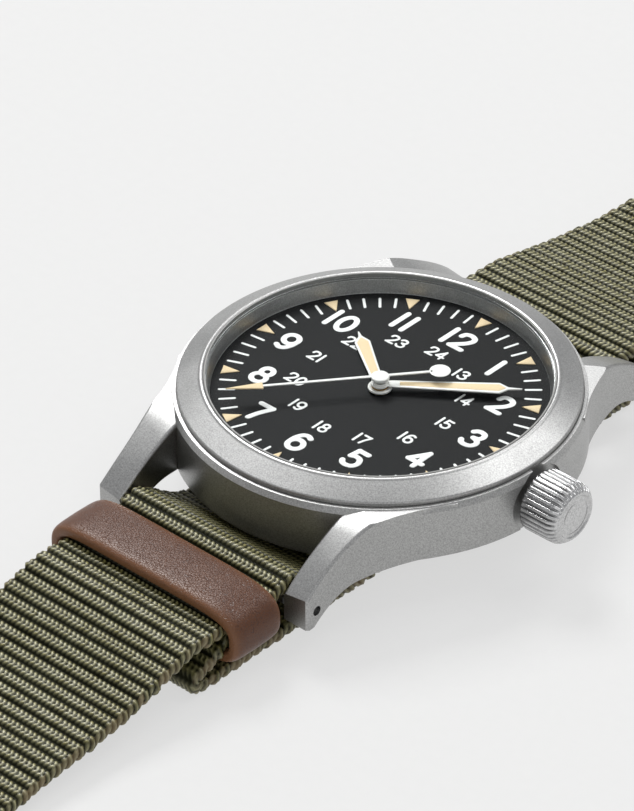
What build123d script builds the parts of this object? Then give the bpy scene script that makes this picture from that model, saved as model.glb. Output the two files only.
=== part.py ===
# Wristwatch on a striped-weave nylon pass-through strap, laid out open and flat.
# Origin on the dial axis at the resting plane, +Z out of the dial, +Y to twelve o'clock,
# +X to the crown. Millimetres.
from build123d import *
from math import atan2, cos, degrees, hypot, pi, radians, sin, sqrt
import os

os.makedirs("parts", exist_ok=True)

# ---- driving sizes ------------------------------------------------------------------
case_radius = 19.1
lug_gap = 20.0
lug_reach = 23.65
lug_tip_x = 12.8
strap_thick = 1.25
strap_gap = 0.05
back_z = 2 * (strap_thick + strap_gap)
band_low = 4.95
band_high = 9.9
dial_z = 10.0
dial_radius = 16.3
opening_radius = 15.45
crystal_radius = 15.85
crystal_top = 12.1
crystal_thick = 0.45
bore_radius = 15.15
bar_y = 22.4
bar_z = 4.2
bar_radius = 0.9
lug_hole_radius = 0.475
crown_z = 7.3
crown_radius = 3.0
crown_back = case_radius
crown_length = 4.2
crown_face = crown_back + crown_length
strap_play = 0.4
strap_width = lug_gap - strap_play
plate_radius = 12.8
fit = 0.03

# ---- small builders -----------------------------------------------------------------


def save(shape, node):
    """Writes one node; a list becomes a group of separate solids."""
    if isinstance(shape, (list, tuple)):
        shape = Compound(children=list(shape))
    export_step(shape, f"parts/{node}.step")


def disc(radius, z0, z1, at=(0, 0)):
    return Pos(at[0], at[1], (z0 + z1) / 2) * Cylinder(radius, z1 - z0)


def ring(outer, inner, z0, z1, at=(0, 0)):
    return disc(outer, z0, z1, at) - disc(inner, z0 - 1, z1 + 1, at)


def rod(radius, x0, x1, y=0.0, z=crown_z):
    """Cylinder lying along X."""
    return Pos((x0 + x1) / 2, y, z) * Rot(0, 90, 0) * Cylinder(radius, x1 - x0)


def block(x0, x1, y0, y1, z0, z1):
    return Pos((x0 + x1) / 2, (y0 + y1) / 2, (z0 + z1) / 2) * Box(x1 - x0, y1 - y0, z1 - z0)


def turned(*profile):
    """Solid of revolution about Z from (radius, height) corners."""
    return revolve(make_face(Polyline(*[(r, 0, z) for r, z in profile], close=True)), Axis.Z)


def flat(points, z0, z1):
    """Prism from plan corners."""
    return extrude(make_face(Polyline(*[(x, y, z0) for x, y in points], close=True)), z1 - z0)


def side(points, x0, x1, drop=0.0):
    """Prism along X from (y, z) corners; drop lowers the far end by that much per mm."""
    face = make_face(Polyline(*[(x0, y, z) for y, z in points], close=True))
    reach = x1 - x0
    return extrude(face, reach * sqrt(1 + drop * drop), dir=(1, 0, -drop))


def outline(curve, corners, plane, level):
    """Face bounded by a smooth curve and the straight runs that close it, in plan or in a YZ plane."""
    place = (lambda p: (p[0], p[1], level)) if plane == "plan" else (lambda p: (level, p[0], p[1]))
    smooth = Spline(*[place(p) for p in curve])
    straight = Polyline(*[place(p) for p in corners])
    return make_face([smooth] + list(straight.edges()))


def link(a, b, radius, z0, z1):
    """Flat bar with round ends between two plan points."""
    length = hypot(b[0] - a[0], b[1] - a[1])
    turn = degrees(atan2(b[1] - a[1], b[0] - a[0]))
    middle = Pos((a[0] + b[0]) / 2, (a[1] + b[1]) / 2, (z0 + z1) / 2) * Rot(0, 0, turn)
    bar = middle * Box(length, 2 * radius, z1 - z0)
    return bar + disc(radius, z0, z1, a) + disc(radius, z0, z1, b)


def polar(radius, angle, start=(0, 0)):
    return (start[0] + radius * cos(radians(angle)), start[1] + radius * sin(radians(angle)))


def gear(teeth, module, z0, z1, at=(0, 0), phase=0.0, tip=0.9, root=1.15):
    """Toothed wheel blank; one tooth points along the phase angle."""
    pitch = teeth * module / 2
    step = 360 / teeth
    corners = []
    for k in range(teeth):
        for radius, share in ((-root, -0.28), (tip, -0.1), (tip, 0.1), (-root, 0.28)):
            corners.append(polar(pitch + radius * module, phase + (k + share) * step, at))
    return flat(corners, z0, z1)


def meshed(at_a, teeth_a, phase_a, at_b, teeth_b):
    """Phase of wheel b that puts its gap on a tooth of wheel a."""
    line = degrees(atan2(at_b[1] - at_a[1], at_b[0] - at_a[0]))
    behind = (line - phase_a) * teeth_a / 360
    return line + 180 + (behind + 0.5) * 360 / teeth_b


def lightened(wheel, hub, rim, spokes, z0, z1, at=(0, 0), turn=0.0, width=0.5):
    """Cuts the wheel through between hub and rim, leaving straight spokes."""
    window = ring(rim, hub, z0 - 0.1, z1 + 0.1, at)
    for k in range(spokes):
        arm = Box(2 * rim, width, 4 * (z1 - z0 + 1))
        window -= Pos(at[0], at[1], z0) * Rot(0, 0, turn + 180 * k / spokes) * arm
    return wheel - window


def bowed(start, end, middle, count=8):
    """Points along a parabola from start to end whose middle is moved sideways."""
    out = []
    for i in range(count + 1):
        u = i / count
        w = 4 * u * (1 - u)
        x = start[0] * (1 - u) + end[0] * u + middle[0] * w
        y = start[1] * (1 - u) + end[1] * u + middle[1] * w
        out.append((x, y))
    return out


def turn_points(centre, radius, a0, a1, count=10):
    return [polar(radius, a0 + (a1 - a0) * i / count, centre) for i in range(count + 1)]


def eased(points, per=5):
    """Smooth curve through the given points."""
    out = []
    for i in range(len(points) - 1):
        p0 = points[max(i - 1, 0)]
        p1 = points[i]
        p2 = points[i + 1]
        p3 = points[min(i + 2, len(points) - 1)]
        for k in range(per):
            t = k / per
            a = -0.5 * t + t * t - 0.5 * t ** 3
            b = 1 - 2.5 * t * t + 1.5 * t ** 3
            c = 0.5 * t + 2 * t * t - 1.5 * t ** 3
            d = -0.5 * t * t + 0.5 * t ** 3
            out.append(tuple(a * p0[j] + b * p1[j] + c * p2[j] + d * p3[j] for j in (0, 1)))
    return out + [points[-1]]


def webbing(line, thick=strap_thick, width=strap_width):
    """Flat band following a (y, z) centre line, extruded across X."""
    upper = []
    lower = []
    last = len(line) - 1
    for i, (y, z) in enumerate(line):
        a = line[max(i - 1, 0)]
        b = line[min(i + 1, last)]
        length = hypot(b[0] - a[0], b[1] - a[1])
        ny = -(b[1] - a[1]) / length
        nz = (b[0] - a[0]) / length
        upper.append((y + ny * thick / 2, z + nz * thick / 2))
        lower.append((y - ny * thick / 2, z - nz * thick / 2))
    return side(upper + lower[::-1], -width / 2, width / 2)


def mirrored(line):
    return [(-y, z) for y, z in line]


# ---- case ---------------------------------------------------------------------------
# band with back bore, movement bore, dial ledge, bezel seat and sloped shoulder
seat_z = dial_z + 0.4
ledge_z = dial_z - 0.45
thread_radius = bore_radius + 0.45
bezel_radius = case_radius - 0.6
foot_z = back_z + 0.9
case_body = turned(
    (thread_radius, foot_z),
    (case_radius - 1.9, foot_z),
    (case_radius - 0.05, band_low),
    (case_radius, band_low + 0.1),
    (case_radius, band_high),
    (case_radius - 0.25, dial_z + 0.5),
    (bezel_radius + 0.05, dial_z + 0.52),
    (bezel_radius, seat_z),
    (dial_radius + 0.2, seat_z),
    (dial_radius + 0.2, ledge_z),
    (bore_radius, ledge_z),
    (bore_radius, band_low),
    (thread_radius, band_low),
)

# four horns: plan flares from the round band, top rolls down to a thin tip
horn_inner = lug_gap / 2
horn_start = 6.0
horn_root = polar(case_radius - 0.05, 27)
horn_tip = (lug_tip_x, lug_reach - 0.25)
horn_round = 0.3
plan_corners = [horn_tip, (lug_tip_x - 0.25, lug_reach), (horn_inner, lug_reach), (horn_inner, 9.0)]
plan_corners += [polar(case_radius - 3.0, 27), horn_root]
horn_plan = outline(bowed(horn_root, horn_tip, (-1.25, -0.5), 4), plan_corners, "plan", back_z)
roll = [(6.0, 0.5), (12.0, 0.45), (14.8, 0.25), (16.9, -0.3), (18.6, -1.1), (20.4, -2.1), (22.4, -3.45)]
roll = [(y, band_high + rise) for y, rise in roll] + [(lug_reach + 0.4, band_high - 4.85)]
roll_corners = [roll[-1], (lug_reach + 0.4, -4.0), (6.0, -4.0), roll[0]]
horn_side = outline(roll, roll_corners, "side", horn_inner - 0.2)
arch = [(22.9, back_z - 0.1), (21.7, back_z + 0.75), (19.9, back_z + 1.75), (17.4, band_low - 0.02)]
arch_corners = [arch[-1], (horn_start, band_low), (horn_start, -1.0), (22.9, -1.0), arch[0]]
horn_under = outline(arch, arch_corners, "side", horn_inner - 0.2)
horn_slope = -0.15
horn_span = case_radius - horn_inner
horn = extrude(horn_plan, band_high + 0.5 - back_z)
horn &= extrude(horn_side, horn_span * sqrt(1 + horn_slope ** 2), dir=(1, 0, -horn_slope))
horn -= extrude(horn_under, horn_span + 3, dir=(1, 0, 0))
horn -= disc(case_radius - 1.4, band_low - 3, seat_z + 3)
top_edges = [e for e in horn.edges() if e.center().Y > 16 and e.center().Z > 7 and e.length > 3]
horn = fillet(top_edges, horn_round)
horns = [horn, mirror(horn, Plane.XZ)]
horns += [mirror(h, Plane.YZ) for h in horns]
for h in horns:
    case_body += h

# drilled horns, crown tube bore and the milled crown seat
for sy in (-1, 1):
    case_body -= rod(lug_hole_radius, -case_radius, case_radius, sy * bar_y, bar_z)
tube_radius = 1.25
case_body -= rod(tube_radius, 10, 30)
case_body -= rod(crown_radius + 0.28, case_radius - 0.65, 30)

# bezel: sloped ring carrying the crystal on a narrow ledge
crystal_low = crystal_top - crystal_thick
lip_radius = crystal_radius + 0.17
bezel = turned(
    (lip_radius, crystal_top - 0.1),
    (lip_radius, crystal_low - 0.02),
    (crystal_radius - 0.13, crystal_low - 0.02),
    (crystal_radius - 0.13, crystal_low - 0.15),
    (dial_radius + 0.15, crystal_low - 0.15),
    (dial_radius + 0.15, seat_z + 0.02),
    (bezel_radius, seat_z + 0.02),
    (bezel_radius, dial_z + 0.9),
    (lip_radius + 0.45, crystal_top - 0.18),
    (lip_radius + 0.16, crystal_top - 0.05),
)
save(bezel, "bezel")
crystal = disc(crystal_radius, crystal_low, crystal_top)
crystal = chamfer(crystal.edges().group_by(Axis.Z)[-1], 0.1)
save(crystal, "crystal")
save(ring(lip_radius - 0.01, crystal_radius + 0.01, crystal_low, crystal_top - 0.11), "crystal_gasket")
rehaut_ring = turned(
    (opening_radius, dial_z + 0.02),
    (dial_radius + 0.1, dial_z + 0.02),
    (dial_radius + 0.1, crystal_low - 0.2),
    (opening_radius + 0.27, crystal_low - 0.2),
)
save(rehaut_ring, "rehaut_ring")

# dial with a centre hole and two small feet
dial = disc(dial_radius, dial_z - 0.4, dial_z) - disc(0.95, 0, 20)
for angle in (100, 280):
    dial += disc(0.35, dial_z - 1.1, dial_z - 0.35, polar(11.6, angle))
save(dial, "dial")

# screwed back: flange, threaded neck, hollow inside, six key notches
neck = thread_radius - 0.04
case_back = turned(
    (0, back_z),
    (neck + 0.5, back_z),
    (neck + 1.2, back_z + 0.5),
    (neck + 1.2, foot_z - 0.02),
    (neck, foot_z - 0.02),
    (neck, band_low - 0.05),
    (neck - 0.9, band_low - 0.05),
    (neck - 1.2, back_z + 1.0),
    (0, back_z + 1.0),
)
for k in range(6):
    case_back -= Pos(*polar(neck + 0.95, 60 * k), back_z) * Rot(0, 0, 60 * k) * Box(1.0, 2.2, 0.9)
save(case_back, "case_back")
case_back_gasket = ring(neck + 0.55, neck + 0.07, foot_z + 0.02, foot_z + 0.32)
case_body -= ring(neck + 0.58, neck - 0.5, foot_z - 0.1, foot_z + 0.35)
save(case_body, "case_body")
save(case_back_gasket, "case_back_gasket")

# casing ring that centres the movement, open where the stem passes
movement_ring = ring(bore_radius - fit, plate_radius + fit, band_low, ledge_z)
movement_ring -= rod(1.35, 10, 20)
save(movement_ring, "movement_ring")

# crown tube pressed through the band
tube = rod(tube_radius - 0.005, bore_radius + 0.05, case_radius + 0.55) - rod(0.8, 10, 30)
save(tube, "crown_tube")

# ---- spring bars --------------------------------------------------------------------
bar_half = lug_gap / 2 - 0.5
pin_radius = 0.42
plunger_radius = 0.58
pin_travel = 2.0
tubes = []
for sy in (-1, 1):
    bar = rod(bar_radius, -bar_half, bar_half, sy * bar_y, bar_z)
    for sx in (-1, 1):
        bore_from = bar_half - 1.7 - 0.6 - pin_travel - 0.2
        near = min(sx * bore_from, sx * (bar_half + 1))
        far = max(sx * bore_from, sx * (bar_half + 1))
        bar -= rod(plunger_radius + 0.04, near, far, sy * bar_y, bar_z)
        tip = rod(plunger_radius, bar_half - 2.3, bar_half - 0.6, sy * bar_y, bar_z)
        tip += rod(pin_radius, bar_half - 0.6, lug_gap / 2 + 2.0, sy * bar_y, bar_z)
        if sx < 0:
            tip = mirror(tip, Plane.YZ)
        save(tip, f"bar_pin_{'12' if sy > 0 else '6'}_{'crown' if sx > 0 else 'far'}")
    tubes.append(bar)
save(tubes, "spring_bar_tubes")

# ---- movement layout ----------------------------------------------------------------
# heights: dial-side web above, train between, bridges below
plate_top = dial_z - 0.5
plate_low = dial_z - 1.4
web_top = dial_z - 0.95
bridge_low = dial_z - 4.25
winding_low = bridge_low + 0.05
winding_high = bridge_low + 0.45
recess_top = bridge_low + 0.47
barrel_bridge_top = bridge_low + 1.2
pivot = 0.09
centre = (0.0, 0.0)

barrel_module = 0.13
barrel_teeth = 80
centre_leaves = 12
barrel_angle = 62
barrel_at = polar(barrel_module * (barrel_teeth + centre_leaves) / 2, barrel_angle)
great_module = 0.1
great_teeth = 80
third_leaves = 10
third_at = polar(great_module * (great_teeth + third_leaves) / 2, 290)
third_teeth = 75
seconds_leaves = 10
third_module = 2 * hypot(*third_at) / (third_teeth + seconds_leaves)
seconds_module = 0.08
seconds_teeth = 84
escape_leaves = 7
escape_at = polar(seconds_module * (seconds_teeth + escape_leaves) / 2, 200)
escape_teeth = 15
escape_radius = 2.2
balance_at = (-6.2, -6.3)
balance_radius = 3.7
gap_line = degrees(atan2(balance_at[1] - escape_at[1], balance_at[0] - escape_at[0]))
pallet_at = polar(2.5, gap_line, escape_at)
pallet_foot = (-7.6, -2.6)
wind_module = 0.2
crown_wheel_teeth = 22
ratchet_teeth = 48
winding_leaves = 12
wheel_gap = wind_module * (crown_wheel_teeth + ratchet_teeth) / 2
crown_wheel_at = (barrel_at[0] + sqrt(wheel_gap ** 2 - barrel_at[1] ** 2), 0.0)
crown_wheel_radius = wind_module * crown_wheel_teeth / 2
winding_x = crown_wheel_at[0] + crown_wheel_radius - 0.2
minute_module = 0.09
cannon_leaves = 12
minute_teeth = 36
minute_at = polar(minute_module * (cannon_leaves + minute_teeth) / 2, 180)
minute_leaves = 10
hour_teeth = 40
hour_module = 2 * hypot(*minute_at) / (minute_leaves + hour_teeth)
jewel_radius = 0.5
upper_jewels = [third_at, escape_at, pallet_at, balance_at]
screw_spots = []

# main plate: disc with motion-work recess, pivots, pinion pocket and stem block
main_plate = disc(plate_radius, plate_low, plate_top)
main_plate -= disc(2.3, web_top, plate_top + 1)
main_plate -= disc(2.0, web_top, plate_top + 1, minute_at)
main_plate += disc(0.25, web_top - 0.1, plate_top - 0.02, minute_at)
main_plate -= disc(0.37, plate_low - 1, plate_top + 1)
for spot in upper_jewels:
    main_plate -= disc(jewel_radius, plate_low - 1, plate_top + 1, spot)
main_plate -= disc(0.62, plate_low - 1, plate_top + 1, barrel_at)
main_plate += block(12.35, plate_radius - 0.05, -1.4, 1.4, crown_z - 0.9, plate_low + 0.1)
main_plate -= rod(0.5, 5, 20)
main_plate -= block(winding_x - 0.1, winding_x + 1.2, -1.0, 1.0, plate_low - 1, plate_low + 0.12)
for angle in (100, 280):
    main_plate -= disc(0.4, plate_low - 1, plate_top + 1, polar(11.6, angle))

# barrel bridge: covers barrel and winding wheels, with their recesses
line = radians(barrel_angle)
away = (cos(line), sin(line))
across = (-sin(line), cos(line))
edge_gap = 0.95
edge = [(edge_gap * away[0] + s * 20 * across[0], edge_gap * away[1] + s * 20 * across[1]) for s in (-1, 1)]
edge += [(p[0] + 20 * away[0], p[1] + 20 * away[1]) for p in edge[::-1]]
barrel_bridge = disc(plate_radius - 0.1, bridge_low, barrel_bridge_top) & flat(edge, 0, 20)
ratchet_radius = wind_module * ratchet_teeth / 2
barrel_bridge -= disc(ratchet_radius + 0.28, bridge_low - 1, recess_top, barrel_at)
barrel_bridge -= disc(crown_wheel_radius + 0.28, bridge_low - 1, recess_top, crown_wheel_at)
barrel_bridge += disc(0.75, winding_low, recess_top + 0.1, crown_wheel_at)
barrel_bridge -= disc(3.6, bridge_low + 0.9, 20)
barrel_bridge -= disc(0.62, 0, 20, barrel_at)
barrel_bridge -= block(6.0, 15, -0.85, 0.85, crown_z - 0.76, 20)
barrel_bridge -= block(12.0, 15, -1.5, 1.5, crown_z - 1.0, 20)
barrel_bridge -= block(winding_x - 0.15, winding_x + 1.25, -1.45, 1.45, bridge_low - 1, 20)
for foot in ((-5.0, 10.3), (9.5, 7.0), (11.0, 4.6)):
    barrel_bridge += disc(0.85, barrel_bridge_top - 0.2, plate_low - 0.01, foot)
    screw_spots.append(foot)

# train bridge: bent bar from foot to foot over third, seconds and escape pivots
train_top = bridge_low + 0.85
train_feet = ((6.0, -9.0), (-10.3, 1.5))
train_bridge = link(train_feet[0], third_at, 1.2, bridge_low, train_top)
train_bridge += link(third_at, centre, 0.8, bridge_low, train_top)
train_bridge += link(centre, escape_at, 0.8, bridge_low, train_top)
train_bridge += link(escape_at, train_feet[1], 0.9, bridge_low, train_top)
for foot in train_feet:
    train_bridge += disc(1.0, bridge_low, plate_low - 0.01, foot)
    screw_spots.append(foot)
for spot in (third_at, centre, escape_at):
    train_bridge -= disc(jewel_radius, 0, 20, spot)

# balance cock and pallet bridge
cock_foot = (-2.0, -11.4)
balance_cock = link(cock_foot, balance_at, 1.1, bridge_low, bridge_low + 0.4)
balance_cock += disc(1.1, bridge_low, plate_low - 0.01, cock_foot)
balance_cock -= disc(jewel_radius, 0, 20, balance_at)
screw_spots.append(cock_foot)
pallet_bridge_low = bridge_low + 1.15
pallet_bridge = link(pallet_at, pallet_foot, 0.7, pallet_bridge_low, pallet_bridge_low + 0.25)
pallet_bridge += disc(0.7, pallet_bridge_low, plate_low - 0.01, pallet_foot)
pallet_bridge -= disc(0.35, 0, 20, pallet_at)

# jewels: pierced rings at the pivots of plate and bridges
jewels = [ring(jewel_radius - 0.005, pivot + fit, plate_low + 0.02, plate_low + 0.3, p) for p in upper_jewels]
for spot in (third_at, escape_at):
    jewels.append(ring(jewel_radius - 0.005, pivot + fit, bridge_low + 0.5, train_top - 0.05, spot))
jewels.append(ring(jewel_radius - 0.005, pivot + fit, bridge_low + 0.5, train_top - 0.05, centre))
jewels.append(ring(jewel_radius - 0.005, pivot + fit, bridge_low + 0.1, bridge_low + 0.35, balance_at))
jewels.append(
    ring(0.345, pivot + fit, pallet_bridge_low + 0.02, pallet_bridge_low + 0.22, pallet_at)
)
save(jewels, "jewels")

# screws: slotted heads sunk in the bridges, shanks up into the plate, plus casing screws
screws = []
for spot in screw_spots:
    screw = disc(0.62, bridge_low + 0.03, bridge_low + 0.33, spot)
    screw += disc(0.3, bridge_low + 0.3, plate_low + 0.4, spot)
    screw -= Pos(spot[0], spot[1], bridge_low) * Box(1.6, 0.14, 0.3)
    screws.append(screw)
    seat = disc(0.64, bridge_low - 0.1, bridge_low + 0.34, spot) + disc(0.31, 0, plate_low + 0.42, spot)
    barrel_bridge -= seat
    train_bridge -= seat
    balance_cock -= seat
    main_plate -= seat
cap = disc(1.05, bridge_low - 0.22, winding_low - 0.02, crown_wheel_at)
cap += disc(0.3, winding_low - 0.1, bridge_low + 0.65, crown_wheel_at)
cap -= Pos(crown_wheel_at[0], crown_wheel_at[1], bridge_low - 0.2) * Box(2.4, 0.2, 0.22)
screws.append(cap)
barrel_bridge -= disc(0.31, 0, bridge_low + 0.66, crown_wheel_at)
save(screws, "bridge_screws")
save(train_bridge, "train_bridge")
save(balance_cock, "balance_cock")
save(pallet_bridge, "pallet_bridge")

# ---- barrel -------------------------------------------------------------------------
drum_low = barrel_bridge_top + 0.15
drum_high = drum_low + 1.15
rim_low = drum_low + 0.8
drum_radius = barrel_module * barrel_teeth / 2 - 0.3
barrel_phase = barrel_angle + 180
barrel = gear(barrel_teeth, barrel_module, rim_low, rim_low + 0.3, barrel_at, barrel_phase)
barrel += disc(drum_radius, drum_low, drum_high, barrel_at)
barrel -= disc(drum_radius - 0.2, drum_low + 0.15, drum_high - 0.15, barrel_at)
barrel -= disc(0.6, 0, 20, barrel_at)
save(barrel, "barrel")
arbor = disc(0.55, winding_high + 0.02, plate_low + 0.3, barrel_at)
arbor += disc(1.3, drum_low + 0.2, drum_high - 0.2, barrel_at)
square = Pos(barrel_at[0], barrel_at[1], bridge_low + 0.25) * Box(0.7, 0.7, 0.5)
save(arbor + square, "barrel_arbor")
spring_thick = 0.12
pitch_step = (drum_radius - 0.3 - 1.4) / 9
strip = []
back = []
for k in range(9 * 16 + 1):
    reach = 1.36 + pitch_step * k / 16
    strip.append(polar(reach, 22.5 * k, barrel_at))
    back.append(polar(reach + spring_thick, 22.5 * k, barrel_at))
save(flat(strip + back[::-1], drum_low + 0.22, drum_high - 0.22), "mainspring")

# winding wheels on the outer face of the barrel bridge
ratchet_wheel = gear(ratchet_teeth, wind_module, winding_low, winding_high, barrel_at, 3.0)
ratchet_wheel -= Pos(barrel_at[0], barrel_at[1], bridge_low) * Box(0.74, 0.74, 2.0)
save(ratchet_wheel, "ratchet_wheel")
crown_wheel_phase = meshed(barrel_at, ratchet_teeth, 3.0, crown_wheel_at, crown_wheel_teeth)
crown_wheel = gear(
    crown_wheel_teeth, wind_module, winding_low, winding_high, crown_wheel_at, crown_wheel_phase, 0.8
)
save(crown_wheel - disc(0.79, 0, 20, crown_wheel_at), "crown_wheel")
click_at = polar(ratchet_radius + 1.45, 150, barrel_at)
click_tip = polar(ratchet_radius + 0.12, 166, barrel_at)
click = link(click_at, polar(ratchet_radius + 0.6, 163, barrel_at), 0.28, winding_low, winding_high - 0.1)
click += disc(0.55, winding_low, winding_high - 0.1, click_at)
click += link(polar(ratchet_radius + 0.6, 163, barrel_at), click_tip, 0.09, winding_low, winding_high - 0.1)
barrel_bridge -= disc(1.55, bridge_low - 1, recess_top, polar(ratchet_radius + 1.1, 155, barrel_at))
barrel_bridge += disc(0.2, winding_low, recess_top + 0.1, click_at)
save(barrel_bridge, "barrel_bridge")
save(click - disc(0.23, 0, 20, click_at), "click")

# ---- going train --------------------------------------------------------------------


def arbor_at(spot, low, high, thick):
    """Staff with a fine pivot at each end."""
    return disc(thick, low, high, spot) + disc(pivot, low - 0.45, high + 0.35, spot)


great_low = plate_low - 0.25
pinion_low = rim_low - 0.05
centre_phase = meshed(barrel_at, barrel_teeth, barrel_phase, centre, centre_leaves)
great = gear(great_teeth, great_module, great_low, great_low + 0.15)
great = lightened(great, 1.2, 3.4, 2, great_low, great_low + 0.15)
centre_wheel = great + gear(centre_leaves, barrel_module, pinion_low, great_low, centre, centre_phase)
centre_wheel += disc(0.34, great_low, dial_z + 0.25)
save(centre_wheel - disc(0.2, 0, 20), "centre_wheel")

third_low = dial_z - 2.5
third_phase = meshed(centre, great_teeth, 0, third_at, third_leaves)
third = gear(third_teeth, third_module, third_low, third_low + 0.15, third_at)
third = lightened(third, 0.9, 3.5, 2, third_low, third_low + 0.15, third_at)
third += gear(third_leaves, great_module, great_low - 0.08, great_low + 0.2, third_at, third_phase)
save(third + arbor_at(third_at, train_top + 0.05, plate_low - 0.05, 0.22), "third_wheel")

fourth_low = dial_z - 3.2
fourth = gear(seconds_teeth, seconds_module, fourth_low, fourth_low + 0.15)
fourth = lightened(fourth, 0.8, 2.95, 2, fourth_low, fourth_low + 0.15, width=0.4)
seconds_phase = meshed(third_at, third_teeth, 0, centre, seconds_leaves)
fourth += gear(seconds_leaves, third_module, third_low - 0.1, third_low + 0.25, centre, seconds_phase)
fourth += disc(0.15, fourth_low - 0.1, crystal_low - 0.08) + disc(0.3, train_top + 0.05, third_low)
save(fourth + disc(pivot, bridge_low + 0.4, train_top + 0.1), "seconds_wheel")

escape_low = dial_z - 2.75
escape_phase = meshed(centre, seconds_teeth, 0, escape_at, escape_leaves)
escape = disc(escape_radius - 0.35, escape_low, escape_low + 0.13, escape_at)
for k in range(escape_teeth):
    a = 360 / escape_teeth * k
    claw = [
        polar(escape_radius - 0.4, a - 5, escape_at),
        polar(escape_radius - 0.4, a + 4, escape_at),
        polar(escape_radius, a + 7, escape_at),
        polar(escape_radius, a + 4.5, escape_at),
    ]
    escape += flat(claw, escape_low, escape_low + 0.13)
escape = lightened(escape, 0.6, 1.5, 2, escape_low, escape_low + 0.13, escape_at, width=0.3)
escape += gear(
    escape_leaves, seconds_module, fourth_low - 0.08, fourth_low + 0.25, escape_at, escape_phase
)
save(escape + arbor_at(escape_at, train_top + 0.05, plate_low - 0.05, 0.14), "escape_wheel")

# pallet fork with two stones and a notched tail around the impulse pin
fork_low = escape_low
fork_high = fork_low + 0.18
stones = [polar(escape_radius + 0.14, gap_line + s * 36, escape_at) for s in (-1, 1)]
fork = disc(0.35, fork_low, fork_high, pallet_at)
for stone in stones:
    fork += link(pallet_at, stone, 0.11, fork_low, fork_high)
fork_reach = hypot(balance_at[0] - pallet_at[0], balance_at[1] - pallet_at[1]) - 0.38
fork_end = polar(fork_reach, gap_line, pallet_at)
fork += link(pallet_at, fork_end, 0.17, fork_low, fork_high)
fork -= Pos(*polar(0.15, gap_line, fork_end), 8) * Rot(0, 0, gap_line) * Box(0.6, 0.2, 4)
fork += disc(0.13, pallet_bridge_low + 0.3, plate_low - 0.05, pallet_at)
fork += disc(pivot, pallet_bridge_low + 0.02, plate_low + 0.3, pallet_at)
save(fork, "pallet_fork")

# balance: rim, arms, staff, roller and impulse pin
rim_z = bridge_low + 0.75
balance = ring(balance_radius, balance_radius - 0.35, rim_z, rim_z + 0.3, balance_at)
for angle in (gap_line, gap_line + 90):
    arm = Box(2 * balance_radius - 0.4, 0.4, 0.18)
    balance += Pos(*balance_at, rim_z + 0.12) * Rot(0, 0, angle) * arm
balance += disc(0.2, bridge_low + 0.42, plate_low - 0.05, balance_at)
balance += disc(pivot, bridge_low + 0.06, plate_low + 0.3, balance_at)
balance += disc(0.62, fork_low - 0.26, fork_low - 0.08, balance_at)
balance += disc(0.08, fork_low - 0.1, fork_high, polar(0.47, gap_line + 180, balance_at))
save(balance, "balance_wheel")
hair_low = bridge_low + 0.48
inner = []
outer = []
for k in range(9 * 16 + 1):
    reach = 0.45 + 0.2 * k / 16
    inner.append(polar(reach, 22.5 * k, balance_at))
    outer.append(polar(reach + 0.05, 22.5 * k, balance_at))
hairspring = flat(inner + outer[::-1], hair_low, hair_low + 0.15)
hairspring += ring(0.48, 0.21, hair_low, hair_low + 0.15, balance_at)
save(hairspring, "hairspring")

# motion work under the dial
motion_low = web_top + 0.05
cannon = gear(cannon_leaves, minute_module, motion_low, motion_low + 0.15, centre, 15)
cannon += disc(0.44, motion_low, dial_z + 0.95)
save(cannon - disc(0.35, 0, 20), "cannon_pinion")
minute_phase = meshed(centre, cannon_leaves, 15, minute_at, minute_teeth)
minute_wheel = gear(minute_teeth, minute_module, motion_low, motion_low + 0.15, minute_at, minute_phase)
minute_wheel += gear(minute_leaves, hour_module, motion_low + 0.15, plate_top - 0.04, minute_at, 0)
save(minute_wheel - disc(0.28, 0, 20, minute_at), "minute_wheel")
hour_phase = meshed(minute_at, minute_leaves, 0, centre, hour_teeth)
hour_wheel = gear(hour_teeth, hour_module, motion_low + 0.2, motion_low + 0.35, centre, hour_phase)
hour_wheel += disc(0.75, motion_low + 0.2, dial_z + 0.42)
save(hour_wheel - disc(0.48, 0, 20), "hour_wheel")

# ---- winding and setting parts ------------------------------------------------------
stem_radius = 0.45
stem_in = 6.1
groove_x = 10.95
stem = rod(stem_radius, winding_x - 0.1, crown_face - 1.2)
stem += block(stem_in, winding_x, -0.3, 0.3, crown_z - 0.3, crown_z + 0.3)
stem -= rod(stem_radius + 0.1, groove_x - 0.25, groove_x + 0.25) - rod(0.28, 0, 30)
save(stem, "winding_stem")
leaf_step = 360 / winding_leaves
# the lowest tooth of the pinion stands in a gap of the wheel at its rim
wheel_gap_angle = -crown_wheel_phase * crown_wheel_teeth / 360
pinion_shift = (wheel_gap_angle + 0.5) % 1
pinion_phase = -90 - pinion_shift * leaf_step
pinion = gear(winding_leaves, wind_module, 0, 0.95, (0, 0), 0, 0.55, 0.9)
pinion = Pos(winding_x + 0.05, 0, crown_z) * Rot(0, 90, 0) * Rot(0, 0, 180 - pinion_phase - 90) * pinion
save(pinion - rod(stem_radius + fit, 0, 30), "winding_pinion")
slide_radius = 0.7
sliding = rod(slide_radius, 7.3, winding_x - 0.1) - rod(0.9, 7.9, 8.25)
sliding += rod(0.48, 7.8, 8.35)
save(sliding - block(5, 12, -0.33, 0.33, crown_z - 0.33, crown_z + 0.33), "sliding_pinion")
lever_low = plate_low - 0.45
lever_pivot = (groove_x, -3.6)
lever = link(lever_pivot, (groove_x, 0), 0.35, lever_low, lever_low + 0.2)
lever += disc(0.13, crown_z + 0.3, lever_low + 0.1, (groove_x, 0))
lever += disc(0.25, lever_low, plate_low + 0.3, lever_pivot)
save(lever, "setting_lever")
yoke_pivot = (8.07, 3.6)
yoke = link(yoke_pivot, (8.07, 0.62), 0.14, lever_low - 0.15, lever_low + 0.1)
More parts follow.
